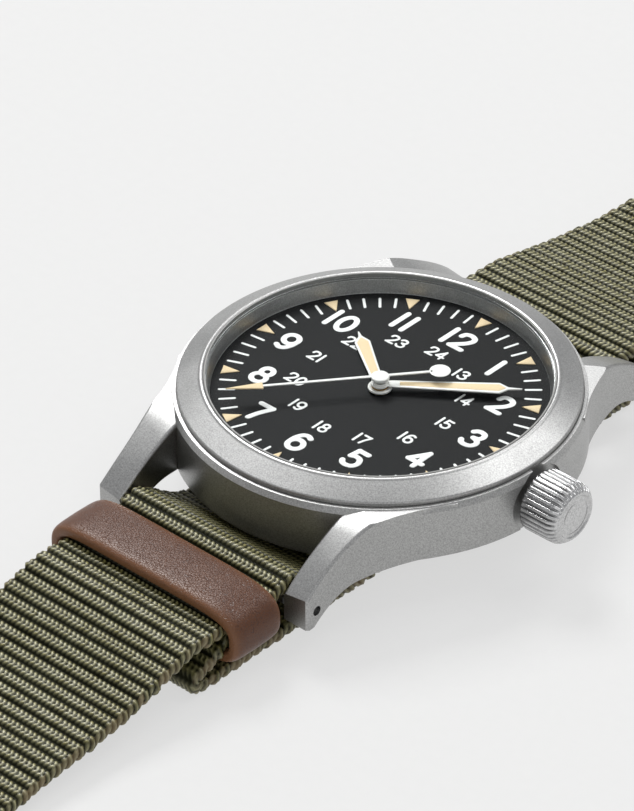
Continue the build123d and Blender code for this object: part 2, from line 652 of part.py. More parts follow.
yoke += disc(0.1, crown_z + 0.3, lever_low, (8.07, 0.6))
yoke += disc(0.25, lever_low - 0.15, plate_low + 0.3, yoke_pivot)
save(yoke, "yoke")
main_plate -= disc(0.27, 0, plate_low + 0.35, lever_pivot) + disc(0.27, 0, plate_low + 0.35, yoke_pivot)
save(main_plate, "main_plate")

# crown: fluted barrel, chamfered cap with a dished face, bore for the tube and a post
grip = gear(34, 2 * crown_radius / 35.4, 0, crown_face - crown_back - 0.7, (0, 0), 0, 0.7, 0.75)
crown = Pos(crown_back, 0, crown_z) * Rot(0, 90, 0) * grip
dome = Cone(crown_radius - 0.08, crown_radius - 0.5, 0.72, align=(Align.CENTER, Align.CENTER, Align.MIN))
crown += Pos(crown_face - 0.72, 0, crown_z) * Rot(0, 90, 0) * dome
crown -= rod(2.05, crown_face - 0.14, 30)
crown -= rod(tube_radius + 0.06, 0, crown_back + 2.2) - rod(0.72, 0, 30)
save(crown - rod(stem_radius + 0.005, 0, crown_face - 1.15), "crown")

# ---- hands --------------------------------------------------------------------------


def pointed(spine, z0, z1, angle):
    """Hand outline from (distance, half width) stations, set at a clock angle."""
    rim = [(w, d) for d, w in spine] + [(-w, d) for d, w in spine[::-1] if w > 0]
    return Rot(0, 0, -angle) * flat(rim, z0, z1)


hour_angle = 305.2
minute_angle = 51.9
seconds_angle = 219.4
hour_low = dial_z + 0.22
hour_shape = [(0.3, 0.5), (1.6, 0.55), (7.3, 0.76), (8.25, 0.2), (9.0, 0)]
hour_hand = pointed(hour_shape, hour_low, hour_low + 0.16, hour_angle)
hour_hand += disc(1.15, hour_low, hour_low + 0.16)
save(hour_hand - disc(0.76, 0, 20), "hour_hand")
minute_low = dial_z + 0.64
minute_hand = pointed(
    [(0.3, 0.45), (1.6, 0.5), (10.85, 0.8), (11.7, 0.16), (12.95, 0)], minute_low, minute_low + 0.12, minute_angle
)
minute_hand += disc(0.95, minute_low, minute_low + 0.12)
save(minute_hand - disc(0.45, 0, 20), "minute_hand")
second_low = crystal_low - 0.17
seconds_shape = [(0.0, 0.16), (10.7, 0.14), (10.75, 0.5), (14.2, 0)]
seconds_hand = pointed(seconds_shape, second_low, second_low + 0.08, seconds_angle)
seconds_hand += pointed([(0.0, 0.16), (5.0, 0.16)], second_low, second_low + 0.08, seconds_angle + 180)
seconds_hand += disc(1.0, second_low, second_low + 0.08, polar(5.5, 270 - seconds_angle))
seconds_hand += disc(0.86, second_low - 0.36, second_low + 0.12)
save(seconds_hand - disc(0.16, 0, 20), "seconds_hand")

# ---- strap --------------------------------------------------------------------------
half = strap_thick / 2
lower_z = half
upper_z = lower_z + strap_thick + strap_gap
loop = bar_radius + 0.05 + half
dive = bar_z - upper_z
dive_y = bar_y - loop - dive
sink = turn_points((dive_y, bar_z), dive, -90, 0, 8)
sink += turn_points((bar_y, bar_z), loop, 180, 172, 2)[1:]
strap_under = webbing([(-y, z) for y, z in sink[::-1]] + sink)
save(strap_under, "strap_under")
over = turn_points((bar_y, bar_z), loop, 105, 82, 4)
stretch_12 = eased(
    [(24.6, 5.86), (27.0, 5.7), (30.9, 4.98), (35.7, 3.98), (40.5, 3.28), (44.4, 2.9), (48.6, 2.72)]
    + [(54.0, 2.15), (59.0, upper_z), (65.5, upper_z)]
)
save(webbing(over + stretch_12), "strap_12")
stretch_6 = eased(
    [(24.6, 5.2), (26.2, 5.06), (28.5, 5.1), (31.5, 5.16), (34.4, 5.2), (37.0, 4.6), (39.6, 3.85)]
    + [(43.9, 2.87), (48.9, 2.3), (52.8, 1.9), (57.2, 1.35), (61.5, 0.95)]
)
over_6 = turn_points((bar_y, bar_z), loop, 105, 66, 5)
save(webbing(mirrored(over_6 + stretch_6)), "strap_6")

# tail with punched holes and a rounded point
tail_end = 172.0
tail = webbing(mirrored(eased([(62.5, 0.9), (65.5, lower_z), (80, lower_z), (tail_end, lower_z)])))
taper = [(-30, -tail_end - 5), (30, -tail_end - 5), (30, -tail_end + 9)]
taper += [(strap_width / 2, -tail_end + 9)]
taper += [(7.2, -tail_end + 3.4), (4.2, -tail_end + 0.8), (0, -tail_end), (-4.2, -tail_end + 0.8)]
taper += [(-7.2, -tail_end + 3.4), (-9.8, -tail_end + 9), (-30, -tail_end + 9)]
tail -= flat(taper, -5, 5)
for k in range(9):
    tail -= disc(1.1, -5, 5, (0, -tail_end + 16 + 8.5 * k))
save(tail, "strap_6_outer")

# buckle end: strap folded round the bar and stitched beneath, slotted for the tongue
buckle_y = 95.0
buckle_wire = 1.1
fold = buckle_wire + 0.05 + half
buckle_z = fold + half
lift = strap_thick
layer_gap = 0.12
keeper_low = 0.0
keeper_high = 6.45
rise = eased(
    [(66.5, upper_z), (68.4, upper_z + 0.35), (70.6, upper_z + lift), (73.0, upper_z + lift + layer_gap)]
    + [(86.0, upper_z + lift + layer_gap), (91.0, buckle_z + fold - 0.35)]
)
end_fold = rise + turn_points((buckle_y, buckle_z), fold, 90, -90, 14)
end_fold += eased([(92.0, lower_z + 0.3), (87.0, lower_z + lift), (80.0, lower_z + lift), (71.6, lower_z + lift)])
buckle_fold = webbing(end_fold) - block(-1.5, 1.5, 90.5, 100, -2, 9)
save(buckle_fold, "strap_12_outer")

# under-strap: flat run below the back, outer run to the joint, folded end for the loop
save(webbing([(-18.5, lower_z), (0, lower_z), (18.5, lower_z)]), "short_strap_under")
save(webbing([(26.0, lower_z), (40.0, lower_z), (63.0, lower_z)]), "short_strap_12")
fold_high = 3.72
fold_centre = (fold_high + lower_z) / 2
fold_turn = turn_points((33.1, fold_centre), (fold_high - lower_z) / 2, -90, 90, 12)
folded = [(26.0, lower_z)] + fold_turn + [(26.0, fold_high)]
save(webbing(mirrored(folded)), "short_strap_6")


def loop_band(y0, y1, low, high, half_width, thick):
    """Closed leather loop round the strap."""
    outer_box = RectangleRounded(2 * half_width, high - low, 1.2)
    inner_box = RectangleRounded(2 * (half_width - thick), high - low - 2 * thick, 0.3)
    frame = extrude(outer_box - inner_box, (y1 - y0) / 2, both=True)
    return Pos(0, (y0 + y1) / 2, (low + high) / 2) * Rot(90, 0, 0) * frame


save(loop_band(-31.2, -25.4, 1.4, 7.35, 11.5, 1.3), "strap_keeper")
save(loop_band(72.6, 77.6, keeper_low, keeper_high, 11.6, 1.2), "buckle_keeper_inner")
save(loop_band(80.8, 85.8, keeper_low, keeper_high, 11.6, 1.2), "buckle_keeper_outer")

# ---- buckle -------------------------------------------------------------------------
frame_half = 11.4
frame_reach = 13.0
droop = -degrees(atan2(buckle_z - buckle_wire, frame_reach))
wire = rod(buckle_wire, -frame_half, frame_half, 0, 0)
frame = wire + Pos(0, frame_reach, 0) * wire
for sx in (-1, 1):
    arm = Pos(sx * frame_half, frame_reach / 2, 0) * Rot(90, 0, 0) * Cylinder(buckle_wire, frame_reach)
    frame += arm
    for fy in (0, frame_reach):
        frame += Pos(sx * frame_half, fy, 0) * Sphere(buckle_wire)
save(Pos(0, buckle_y, buckle_z) * Rot(droop, 0, 0) * frame, "buckle_frame")
tongue = rod(buckle_wire + 0.75, -1.1, 1.1, 0, 0)
shank = eased([(0.3, 1.5), (4.0, 1.9), (9.0, 2.1), (12.0, 1.95), (14.3, 1.75)])
shank_under = [(y, z - 0.62) for y, z in shank[::-1]]
tongue += side(shank + shank_under, -1.0, 1.0)
tongue -= rod(buckle_wire + 0.04, -3, 3, 0, 0)
save(Pos(0, buckle_y, buckle_z) * Rot(droop, 0, 0) * tongue, "buckle_tongue")
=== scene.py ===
import bmesh
import bpy
import numpy as np
from mathutils import Matrix, Vector


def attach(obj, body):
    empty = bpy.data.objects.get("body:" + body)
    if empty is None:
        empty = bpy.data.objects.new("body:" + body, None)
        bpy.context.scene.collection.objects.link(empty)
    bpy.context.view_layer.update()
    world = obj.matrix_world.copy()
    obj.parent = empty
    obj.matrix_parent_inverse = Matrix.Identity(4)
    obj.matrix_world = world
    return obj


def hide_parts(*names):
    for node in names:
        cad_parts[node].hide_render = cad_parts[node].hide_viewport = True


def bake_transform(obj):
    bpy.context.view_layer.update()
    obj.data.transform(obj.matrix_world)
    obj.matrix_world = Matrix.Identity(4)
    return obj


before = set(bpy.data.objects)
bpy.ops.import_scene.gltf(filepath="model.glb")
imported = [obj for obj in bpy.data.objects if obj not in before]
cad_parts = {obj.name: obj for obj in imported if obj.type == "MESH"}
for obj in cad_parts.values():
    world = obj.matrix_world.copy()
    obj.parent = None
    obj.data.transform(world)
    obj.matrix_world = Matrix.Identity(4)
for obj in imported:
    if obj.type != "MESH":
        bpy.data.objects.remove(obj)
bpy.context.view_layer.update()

# ---- Setting: table, light and camera ------------------------------------------------
# The watch lies open on matte opal acrylic lit from below, under a soft lamp behind its left,
# with a weaker one in front. The lens is long, so the lines of the band hardly converge.
MM = 0.001


def linear(code):
    """sRGB hex to linear red, green, blue and alpha: c / 12.92 when dark, else a 2.4 power."""
    v = np.array([int(code[i : i + 2], 16) for i in (1, 3, 5)]) / 255
    v = np.where(v <= 0.04045, v / 12.92, ((v + 0.055) / 1.055) ** 2.4)
    return (*v.tolist(), 1.0)


def add(tree, kind, sockets=None, **settings):
    """Adds one node; sockets takes values or other nodes' outputs, settings the node's options."""
    node = tree.nodes.new(kind)
    for key, value in settings.items():
        setattr(node, key, value)
    for key, value in (sockets or {}).items():
        if isinstance(value, bpy.types.NodeSocket):
            tree.links.new(value, node.inputs[key])
        else:
            node.inputs[key].default_value = value
    return node


def blank(name):
    """A new material with an empty node tree."""
    material = bpy.data.materials.new(name)
    material.use_nodes = True
    material.node_tree.nodes.clear()
    return material, material.node_tree


def skin(grid, around=False, along=False, start=0):
    """Quads between neighbouring points of an (m, n, 3) grid; around closes rows, along columns."""
    m, n = grid.shape[:2]
    index = np.arange(m * n).reshape(m, n) + start
    if along:
        index = np.vstack([index, index[:1]])
    if around:
        index = np.hstack([index, index[:, :1]])
    corners = [index[:-1, :-1], index[1:, :-1], index[1:, 1:], index[:-1, 1:]]
    return np.stack(corners, -1).reshape(-1, 4)


def piece(name, grids, material, marks=None, holes=(), hole_radius=0.0):
    """One mesh object from (grid, around, along) surfaces in millimetres; seams and poles are
    merged and faces look outwards. Quads whose centre lies within hole_radius of a hole, seen
    from above, are left out, and the two rims that leaves are joined by a wall."""
    points, quads, start = [], [], 0
    for grid, around, along in grids:
        points.append(grid.reshape(-1, 3))
        quads.append(skin(grid, around, along, start))
        start += len(points[-1])
    points = np.concatenate(points) * MM
    quads = np.concatenate(quads)
    for hole in holes:
        off = np.hypot(*(points[quads].mean(1)[:, :2] / MM - hole).T)
        quads = quads[off > hole_radius]
    mesh = bpy.data.meshes.new(name)
    mesh.vertices.add(len(points))
    mesh.vertices.foreach_set("co", points.astype(np.float32).ravel())
    mesh.loops.add(quads.size)
    mesh.loops.foreach_set("vertex_index", quads.astype(np.int32).ravel())
    mesh.polygons.add(len(quads))
    mesh.polygons.foreach_set("loop_start", np.arange(0, quads.size, 4, dtype=np.int32))
    mesh.update(calc_edges=True)
    for key, values in (marks or {}).items():
        layer = mesh.attributes.new(key, "FLOAT", "POINT")
        layer.data.foreach_set("value", values.astype(np.float32).ravel())
    work = bmesh.new()
    work.from_mesh(mesh)
    bmesh.ops.remove_doubles(work, verts=work.verts, dist=1e-7)
    for x, y in holes:
        centre = Vector((x, y)) * MM
        near = 2.5 * hole_radius * MM
        open_edges = [e for e in work.edges if e.is_boundary]
        rims = [e for e in open_edges if (e.verts[0].co.xy - centre).length < near]
        bmesh.ops.bridge_loops(work, edges=rims)
    bmesh.ops.recalc_face_normals(work, faces=work.faces)
    work.to_mesh(mesh)
    work.free()
    mesh.polygons.foreach_set("use_smooth", np.full(len(mesh.polygons), True))
    mesh.materials.append(material)
    thing = bpy.data.objects.new(name, mesh)
    bpy.context.scene.collection.objects.link(thing)
    return thing


table_paint, tree = blank("matte_opal_acrylic_lit_from_below")
place = add(tree, "ShaderNodeTexCoord").outputs["Object"]
grain = add(tree, "ShaderNodeTexNoise", {"Vector": place, "Scale": 900.0})
tint = add(tree, "ShaderNodeMix", {"Factor": grain.outputs["Fac"], "A": linear("#737372"),
    "B": linear("#787877")}, data_type="RGBA")
board = add(tree, "ShaderNodeBsdfPrincipled",
    {"Base Color": tint.outputs["Result"], "Roughness": 0.9, "Specular IOR Level": 0.1,
    "Emission Color": linear("#ffffff"), "Emission Strength": 0.62})
add(tree, "ShaderNodeOutputMaterial", {"Surface": board.outputs["BSDF"]})
table_reach, table_z = np.linspace(-6000, 6000, 7), -0.06
across, along = np.meshgrid(table_reach, table_reach, indexing="ij")
plane = np.stack([across, along, np.full((7, 7), table_z)], -1)
table_top = piece("table_top", [(plane, False, False)], table_paint)

world = bpy.data.worlds.new("studio")
bpy.context.scene.world = world
world.use_nodes = True
sky = world.node_tree.nodes["Background"].inputs
sky["Color"].default_value = linear("#f4f5f7")
sky["Strength"].default_value = 0.55
bpy.context.scene.view_settings.view_transform = "Standard"


def lamp(name, place, size, power):
    """White square lamp of size metres at place, turned to face the watch at the origin."""
    light = bpy.data.lights.new(name, "AREA")
    light.size = size
    light.energy = power
    holder = bpy.data.objects.new(name, light)
    holder.location = place
    holder.rotation_euler = (-Vector(place)).to_track_quat("-Z", "Y").to_euler()
    bpy.context.scene.collection.objects.link(holder)


lamp("key_softbox", (-0.75, 0.40, 1.05), 0.55, 15.0)
lamp("top_softbox", (0.25, 0.9, 1.3), 0.9, 7.5)
lamp("front_fill", (0.9, -0.9, 0.7), 0.9, 1.4)

azimuth, elevation, roll = np.radians([42.7222, 35.6415, -0.2707])
level, distance = np.cos(elevation), 442.68
backward = np.array([np.sin(azimuth) * level, -np.cos(azimuth) * level, np.sin(elevation)])
right = np.array([np.cos(azimuth), np.sin(azimuth), 0.0])
upward = np.cross(backward, right)
tilted_right = right * np.cos(roll) + upward * np.sin(roll)
tilted_up = upward * np.cos(roll) - right * np.sin(roll)
facing = Matrix(np.array([tilted_right, tilted_up, backward]).T.tolist()).to_quaternion()
aim_point = np.array([-2.5538, -5.6756, 10.0])
eye = aim_point + backward * distance
camera_data = bpy.data.cameras.new("studio_camera")
camera_data.sensor_fit = "VERTICAL"
camera_data.sensor_height = 36.0
camera_data.lens = 217.5
camera_data.clip_end = 20.0
camera = bpy.data.objects.new("studio_camera", camera_data)
camera.matrix_world = Matrix.LocRotScale(Vector(eye * MM), facing, None)
bpy.context.scene.collection.objects.link(camera)
bpy.context.scene.camera = camera

# ---- Movement ------------------------------------------------------------------------
# Hand-wound calibre: nickel-plated brass plate and bridges, gilt wheels, hardened steel
# winding parts and ruby bearings, screwed together and closed in between dial and back.


def metal(name, tone, dark, roughness, grit, depth, stretch=(1, 1, 1)):
    """Bare metal whose fine grain, grit millimetres wide, varies tone, gloss and height."""
    material, tree = blank(name)
    place = add(tree, "ShaderNodeTexCoord").outputs["Object"]
    place = add(tree, "ShaderNodeMapping", {"Vector": place, "Scale": stretch}).outputs["Vector"]
    speck = add(tree, "ShaderNodeTexNoise",
        {"Vector": place, "Scale": 1000 / grit, "Detail": 3.0, "Roughness": 0.65})
    cloud = add(tree, "ShaderNodeTexNoise", {"Vector": place, "Scale": 160.0, "Detail": 2.0})
    blend = add(tree, "ShaderNodeMapRange",
        {"Value": speck.outputs["Fac"], "From Min": 0.34, "From Max": 0.66})
    shade = add(tree, "ShaderNodeMix", {"Factor": blend.outputs["Result"], "A": linear(dark),
        "B": linear(tone)}, data_type="RGBA")
    gloss = add(tree, "ShaderNodeMapRange",
        {"Value": cloud.outputs["Fac"], "From Min": 0.3, "From Max": 0.7,
        "To Min": roughness - 0.04, "To Max": roughness + 0.05})
    relief = add(tree, "ShaderNodeBump",
        {"Height": speck.outputs["Fac"], "Strength": 0.6, "Distance": depth * MM})
    steel = add(tree, "ShaderNodeBsdfPrincipled",
        {"Base Color": shade.outputs["Result"], "Metallic": 1.0,
        "Roughness": gloss.outputs["Result"], "Normal": relief.outputs["Normal"]})
    add(tree, "ShaderNodeOutputMaterial", {"Surface": steel.outputs["BSDF"]})
    return material


def dress(material, *nodes):
    """Gives the CAD objects of these nodes one material; their meshes stay as they are."""
    for node in nodes:
        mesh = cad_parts[node].data
        mesh.materials.clear()
        mesh.materials.append(material)


nickel = metal("nickel_plated_brass", "#d8d3c4", "#bcb6a6", 0.32, 0.12, 0.003, (1, 6, 1))
gilt = metal("gilt_brass", "#e2bd70", "#c9a257", 0.3, 0.1, 0.003)
hardened = metal("hardened_polished_steel", "#cfd1d3", "#b4b6b9", 0.16, 0.15, 0.001)
spring_metal = metal("blued_spring_alloy", "#7f8da6", "#66748f", 0.22, 0.1, 0.001)
dress(nickel, "main_plate", "barrel_bridge", "train_bridge", "balance_cock", "pallet_bridge")
dress(gilt, "barrel", "centre_wheel", "third_wheel", "seconds_wheel", "minute_wheel", "hour_wheel",
    "balance_wheel")
dress(hardened, "barrel_arbor", "ratchet_wheel", "crown_wheel", "click", "escape_wheel",
    "pallet_fork", "cannon_pinion")
dress(hardened, "winding_stem", "winding_pinion", "sliding_pinion", "setting_lever", "yoke",
    "bridge_screws")
dress(spring_metal, "mainspring", "hairspring")

ruby, tree = blank("synthetic_ruby")
place = add(tree, "ShaderNodeTexCoord").outputs["Object"]
swirl = add(tree, "ShaderNodeTexNoise", {"Vector": place, "Scale": 4000.0})
red = add(tree, "ShaderNodeMix", {"Factor": swirl.outputs["Fac"], "A": linear("#8c0f2a"),
    "B": linear("#b81f3f")}, data_type="RGBA")
stone = add(tree, "ShaderNodeBsdfPrincipled",
    {"Base Color": red.outputs["Result"], "Roughness": 0.08, "IOR": 1.76})
add(tree, "ShaderNodeOutputMaterial", {"Surface": stone.outputs["BSDF"]})
dress(ruby, "jewels")

# The casing ring is grey moulded plastic and presses the movement up against the dial.
casing_plastic, tree = blank("grey_moulded_acetal")
place = add(tree, "ShaderNodeTexCoord").outputs["Object"]
mottle = add(tree, "ShaderNodeTexNoise", {"Vector": place, "Scale": 2500.0, "Detail": 3.0})
grey = add(tree, "ShaderNodeMix", {"Factor": mottle.outputs["Fac"], "A": linear("#8a8a86"),
    "B": linear("#9a9a95")}, data_type="RGBA")
moulded = add(tree, "ShaderNodeBsdfPrincipled",
    {"Base Color": grey.outputs["Result"], "Roughness": 0.5})
add(tree, "ShaderNodeOutputMaterial", {"Surface": moulded.outputs["BSDF"]})
dress(casing_plastic, "movement_ring")

# ---- Dial ----------------------------------------------------------------------------
# Thin brass disc sprayed matte black, then pad-printed: white minute marks and figures in
# raised ink, and cream luminous triangles at the hours.


def lathe(profile, turns=256):
    """Rotates (radius, height) corners about Z; each corner is one ring of the grid."""
    r, z = np.array(profile, float).T
    a = np.linspace(0, 2 * np.pi, turns, endpoint=False)
    return np.stack([r[:, None] * np.cos(a), r[:, None] * np.sin(a),
        np.repeat(z[:, None], turns, 1)], -1)


def rounded(profile, radius, steps=5):
    """Swaps each inner corner of a profile for a quadratic curve that starts radius away from it,
    or 0.45 of the shorter side when that is less."""
    p = np.array(profile, float)
    out = [p[0]]
    for before, corner, after in zip(p[:-2], p[1:-1], p[2:]):
        reach = min(radius, 0.45 * np.linalg.norm(corner - before),
            0.45 * np.linalg.norm(after - corner))
        a = corner + (before - corner) / np.linalg.norm(before - corner) * reach
        b = corner + (after - corner) / np.linalg.norm(after - corner) * reach
        t = np.linspace(0, 1, steps)[:, None]
        out.extend(((1 - t) ** 2 * a + 2 * t * (1 - t) * corner + t * t * b).tolist())
    out.append(p[-1])
    return np.array(out)


dial_paint, tree = blank("matte_black_dial_lacquer")
place = add(tree, "ShaderNodeTexCoord").outputs["Object"]
dust = add(tree, "ShaderNodeTexNoise", {"Vector": place, "Scale": 9000.0, "Detail": 2.0})
black = add(tree, "ShaderNodeMix", {"Factor": dust.outputs["Fac"], "A": linear("#0d0d0e"),
    "B": linear("#161617")}, data_type="RGBA")
powder = add(tree, "ShaderNodeBump", {"Height": dust.outputs["Fac"], "Strength": 0.35,
    "Distance": 0.000004})
lacquer = add(tree, "ShaderNodeBsdfPrincipled",
    {"Base Color": black.outputs["Result"], "Roughness": 0.6, "Normal": powder.outputs["Normal"],
    "Specular IOR Level": 0.15})
add(tree, "ShaderNodeOutputMaterial", {"Surface": lacquer.outputs["BSDF"]})
dial_z = 10.0
dress(dial_paint, "dial")


def printed(name, tone, dark, roughness=0.55):
    """Ink or paint with a faint uneven lay-down about a tenth of a millimetre across."""
    material, tree = blank(name)
    place = add(tree, "ShaderNodeTexCoord").outputs["Object"]
    lay = add(tree, "ShaderNodeTexNoise", {"Vector": place, "Scale": 7000.0, "Detail": 2.0})
    shade = add(tree, "ShaderNodeMix", {"Factor": lay.outputs["Fac"], "A": linear(dark),
        "B": linear(tone)}, data_type="RGBA")
    bump = add(tree, "ShaderNodeBump", {"Height": lay.outputs["Fac"], "Strength": 0.2,
        "Distance": 0.00001})
    ink = add(tree, "ShaderNodeBsdfPrincipled",
        {"Base Color": shade.outputs["Result"], "Roughness": roughness,
        "Normal": bump.outputs["Normal"]})
    add(tree, "ShaderNodeOutputMaterial", {"Surface": ink.outputs["BSDF"]})
    return material


def flow(points, step):
    """Catmull-Rom curve through control points, resampled at even steps along its length."""
    p = np.array(points, float)
    if len(p) == 2:
        dense = p
    else:
        shut = np.allclose(p[0], p[-1])
        q = np.vstack([p[-2] if shut else 2 * p[0] - p[1], p, p[1] if shut else 2 * p[-1] - p[-2]])
        t = np.linspace(0, 1, 24, endpoint=False)[None, :, None]
        a, b, c, d = (q[i : len(q) - 3 + i, None] for i in range(4))
        square, cube = 2 * a - 5 * b + 4 * c - d, 3 * b - a - 3 * c + d
        dense = 0.5 * (2 * b + (c - a) * t + square * t**2 + cube * t**3)
        dense = np.vstack([dense.reshape(-1, p.shape[1]), p[-1:]])
    run = np.r_[0, np.cumsum(np.linalg.norm(np.diff(dense, axis=0), axis=1))]
    even = np.linspace(0, run[-1], max(2, int(np.ceil(run[-1] / step)) + 1))
    return np.stack([np.interp(even, run, dense[:, i]) for i in range(dense.shape[1])], -1)


def stroke(points, width, low, high, step=0.08):
    """Round-ended pen stroke: the half width follows a half circle at both ends; top edge eased."""
    line = flow(points, step)
    shut = np.allclose(line[0], line[-1])
    way = np.gradient(line, axis=0)
    if shut:
        line = line[:-1]
        way = np.roll(line, -1, 0) - np.roll(line, 1, 0)
    way /= np.linalg.norm(way, axis=1)[:, None]
    turn = np.linspace(np.pi / 2, 0, 5)[:-1]
    lead, half = width / 2 * np.sin(turn), width / 2 * np.cos(turn)
    head = line[0] - lead[:, None] * way[0]
    tail = (line[-1] + lead[:, None] * way[-1])[::-1]
    if shut:
        half = np.full(len(line), width / 2)
    else:
        line = np.vstack([head, line, tail])
        way = np.vstack([np.repeat(way[:1], 4, 0), way, np.repeat(way[-1:], 4, 0)])
        half = np.r_[half, np.full(len(line) - 8, width / 2), half[::-1]]
    side = np.stack([-way[:, 1], way[:, 0]], -1)
    ease = min(0.03, width * 0.12)
    rings = []
    section = [(-1, 0, low), (-1, 0, high - ease), (-1, ease, high)]
    section += [(1, ease, high), (1, 0, high - ease), (1, 0, low)]
    for share, inset, z in section:
        flat = line + share * side * np.maximum(half - inset, 0)[:, None]
        rings.append(np.c_[flat, np.full(len(line), z)])
    return np.stack(rings, 1)


def oval(cx, cy, rx, ry):
    """Sixteen steps round an ellipse, from its top, anticlockwise and back to the start."""
    a = np.radians(90.0 + np.linspace(0, 360.0, 17))
    return [(cx + rx * np.cos(t), cy + ry * np.sin(t)) for t in a]


figures = {
    "0": [oval(0.31, 0.5, 0.3, 0.5)],
    "1": [[(0.31, 1.0), (0.31, 0.0)]],
    "2": [[(0.02, 0.74), (0.1, 0.93), (0.32, 1.0), (0.54, 0.92), (0.6, 0.74), (0.48, 0.48),
    (0.22, 0.2), (0.02, 0.0)], [(0.02, 0.0), (0.62, 0.0)]],
    "3": [[(0.04, 0.84), (0.15, 0.96), (0.32, 1.0), (0.5, 0.94), (0.56, 0.77), (0.48, 0.6),
    (0.28, 0.54)], [(0.28, 0.54), (0.52, 0.46), (0.62, 0.27), (0.52, 0.07), (0.3, 0.0), (0.1, 0.04),
    (0.0, 0.17)]],
    "4": [[(0.46, 1.0), (0.0, 0.28)], [(0.0, 0.28), (0.66, 0.28)], [(0.46, 1.0), (0.46, 0.0)]],
    "5": [[(0.56, 1.0), (0.12, 1.0)], [(0.12, 1.0), (0.06, 0.55)],
    [(0.06, 0.55), (0.28, 0.63), (0.5, 0.57), (0.61, 0.32), (0.52, 0.08), (0.29, 0.0), (0.1, 0.04),
    (0.0, 0.16)]],
    "6": [oval(0.31, 0.31, 0.3, 0.31), [(0.01, 0.31), (0.03, 0.62), (0.15, 0.9), (0.35, 1.0),
    (0.54, 0.92)]],
    "7": [[(0.0, 1.0), (0.6, 1.0)], [(0.6, 1.0), (0.36, 0.48), (0.22, 0.0)]],
    "8": [oval(0.31, 0.76, 0.23, 0.24), oval(0.31, 0.27, 0.3, 0.27)],
    "9": [oval(0.31, 0.69, 0.3, 0.31), [(0.61, 0.69), (0.59, 0.38), (0.47, 0.1), (0.27, 0.0),
    (0.08, 0.08)]],
}


def number(text, x, y, height, pen, low, high):
    """The strokes of a number centred at (x, y): each figure, drawn in a box one high, is scaled to
    height less pen, and figures are set one gap apart."""
    widths = [0.2 if c == "1" else 0.62 for c in text]
    gap = pen / height + 0.1
    left = -(sum(widths) + gap * (len(text) - 1)) / 2
    out = []
    for c, w in zip(text, widths):
        for layer, line in enumerate(figures[c]):
            u = np.array(line) - [0.31 - w / 2 if c == "1" else 0.0, 0.5]
            u = np.c_[u[:, 0] + left, u[:, 1]] * (height - pen) + [x, y]
            shape = stroke(u, pen, low, high + 0.006 * layer, 0.06)
            out.append((shape, True, np.allclose(u[0], u[-1])))
        left += w + gap
    return out


white_ink = printed("white_pad_print_ink", "#f6f6f4", "#ececea")
ink_low, ink_high = dial_z + 0.001, dial_z + 0.03
figure_height, figure_pen = 2.95, 0.56
small_reach, small_height, small_pen = 7.8, 1.48, 0.25
hour_reach = (11.13, 11.18, 11.22, 11.08, 10.87, 10.88, 11.5, 10.93, 11.35, 11.4, 11.04, 10.8)
marks = []
for hour in range(1, 13):
    angle = np.radians(30 * hour)
    for text, out, height, pen in (
        (str(hour), hour_reach[hour - 1], figure_height, figure_pen),
        (str(hour + 12), small_reach, small_height, small_pen),
    ):
        x, y = out * np.sin(angle), out * np.cos(angle)
        marks += number(text, x, y, height, pen, ink_low, ink_high)
hour_figures = piece("hour_figures", marks, white_ink)
tick_in, tick_out, tick_width = 13.25, 14.6, 0.26
ticks = []
for minute in range(60):
    if minute % 5:
        u = np.array([np.sin(np.radians(6 * minute)), np.cos(np.radians(6 * minute))])
        tick = stroke([u * tick_in, u * tick_out], tick_width, ink_low, ink_high)
        ticks.append((tick, True, False))
minute_marks = piece("minute_marks", ticks, white_ink)
cream = printed("cream_luminous_paint", "#ecd6b0", "#e2c89d", 0.7)
wedges = []
for hour in range(12):
    a = np.radians(30 * hour)
    turn = np.array([[np.cos(a), -np.sin(a)], [np.sin(a), np.cos(a)]])
    # the wedge narrows from its wide outer side to a blunt inner point
    depth = np.linspace(14.75, 13.1, 8)
    half = np.linspace(0.66, 0.02, 8)
    rows = []
    for side, inset, z in (
        (-1, 0, ink_low),
        (-1, 0, ink_high + 0.04),
        (-1, 0.05, ink_high + 0.07),
        (1, 0.05, ink_high + 0.07),
        (1, 0, ink_high + 0.04),
        (1, 0, ink_low),
    ):
        flat = np.stack([side * (half - inset), depth - (0.0 if inset == 0 else 0.04)], -1)
        rows.append(np.c_[flat @ turn, np.full(8, z)])
    grid = np.stack(rows, 1)
    inner, outer = (np.repeat(end.mean(1, keepdims=True), 6, 1) for end in (grid[:1], grid[-1:]))
    wedges.append((np.concatenate([inner, grid, outer]), True, False))
hour_wedges = piece("hour_wedges", wedges, cream)
for part in (hour_figures, minute_marks, hour_wedges):
    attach(part, "watch_head")

# ---- Hands ---------------------------------------------------------------------------
# Stamped steel hands painted white, the hour and minute ones with a cream luminous fill
# let into the blade; each is pushed on its own pipe, the seconds hand under a domed cap.


def turned_by(angle):
    """Rotation from a hand pointing at twelve to its clock angle."""
    a = np.radians(angle)
    return np.array([[np.cos(a), -np.sin(a), 0], [np.sin(a), np.cos(a), 0], [0, 0, 1]])


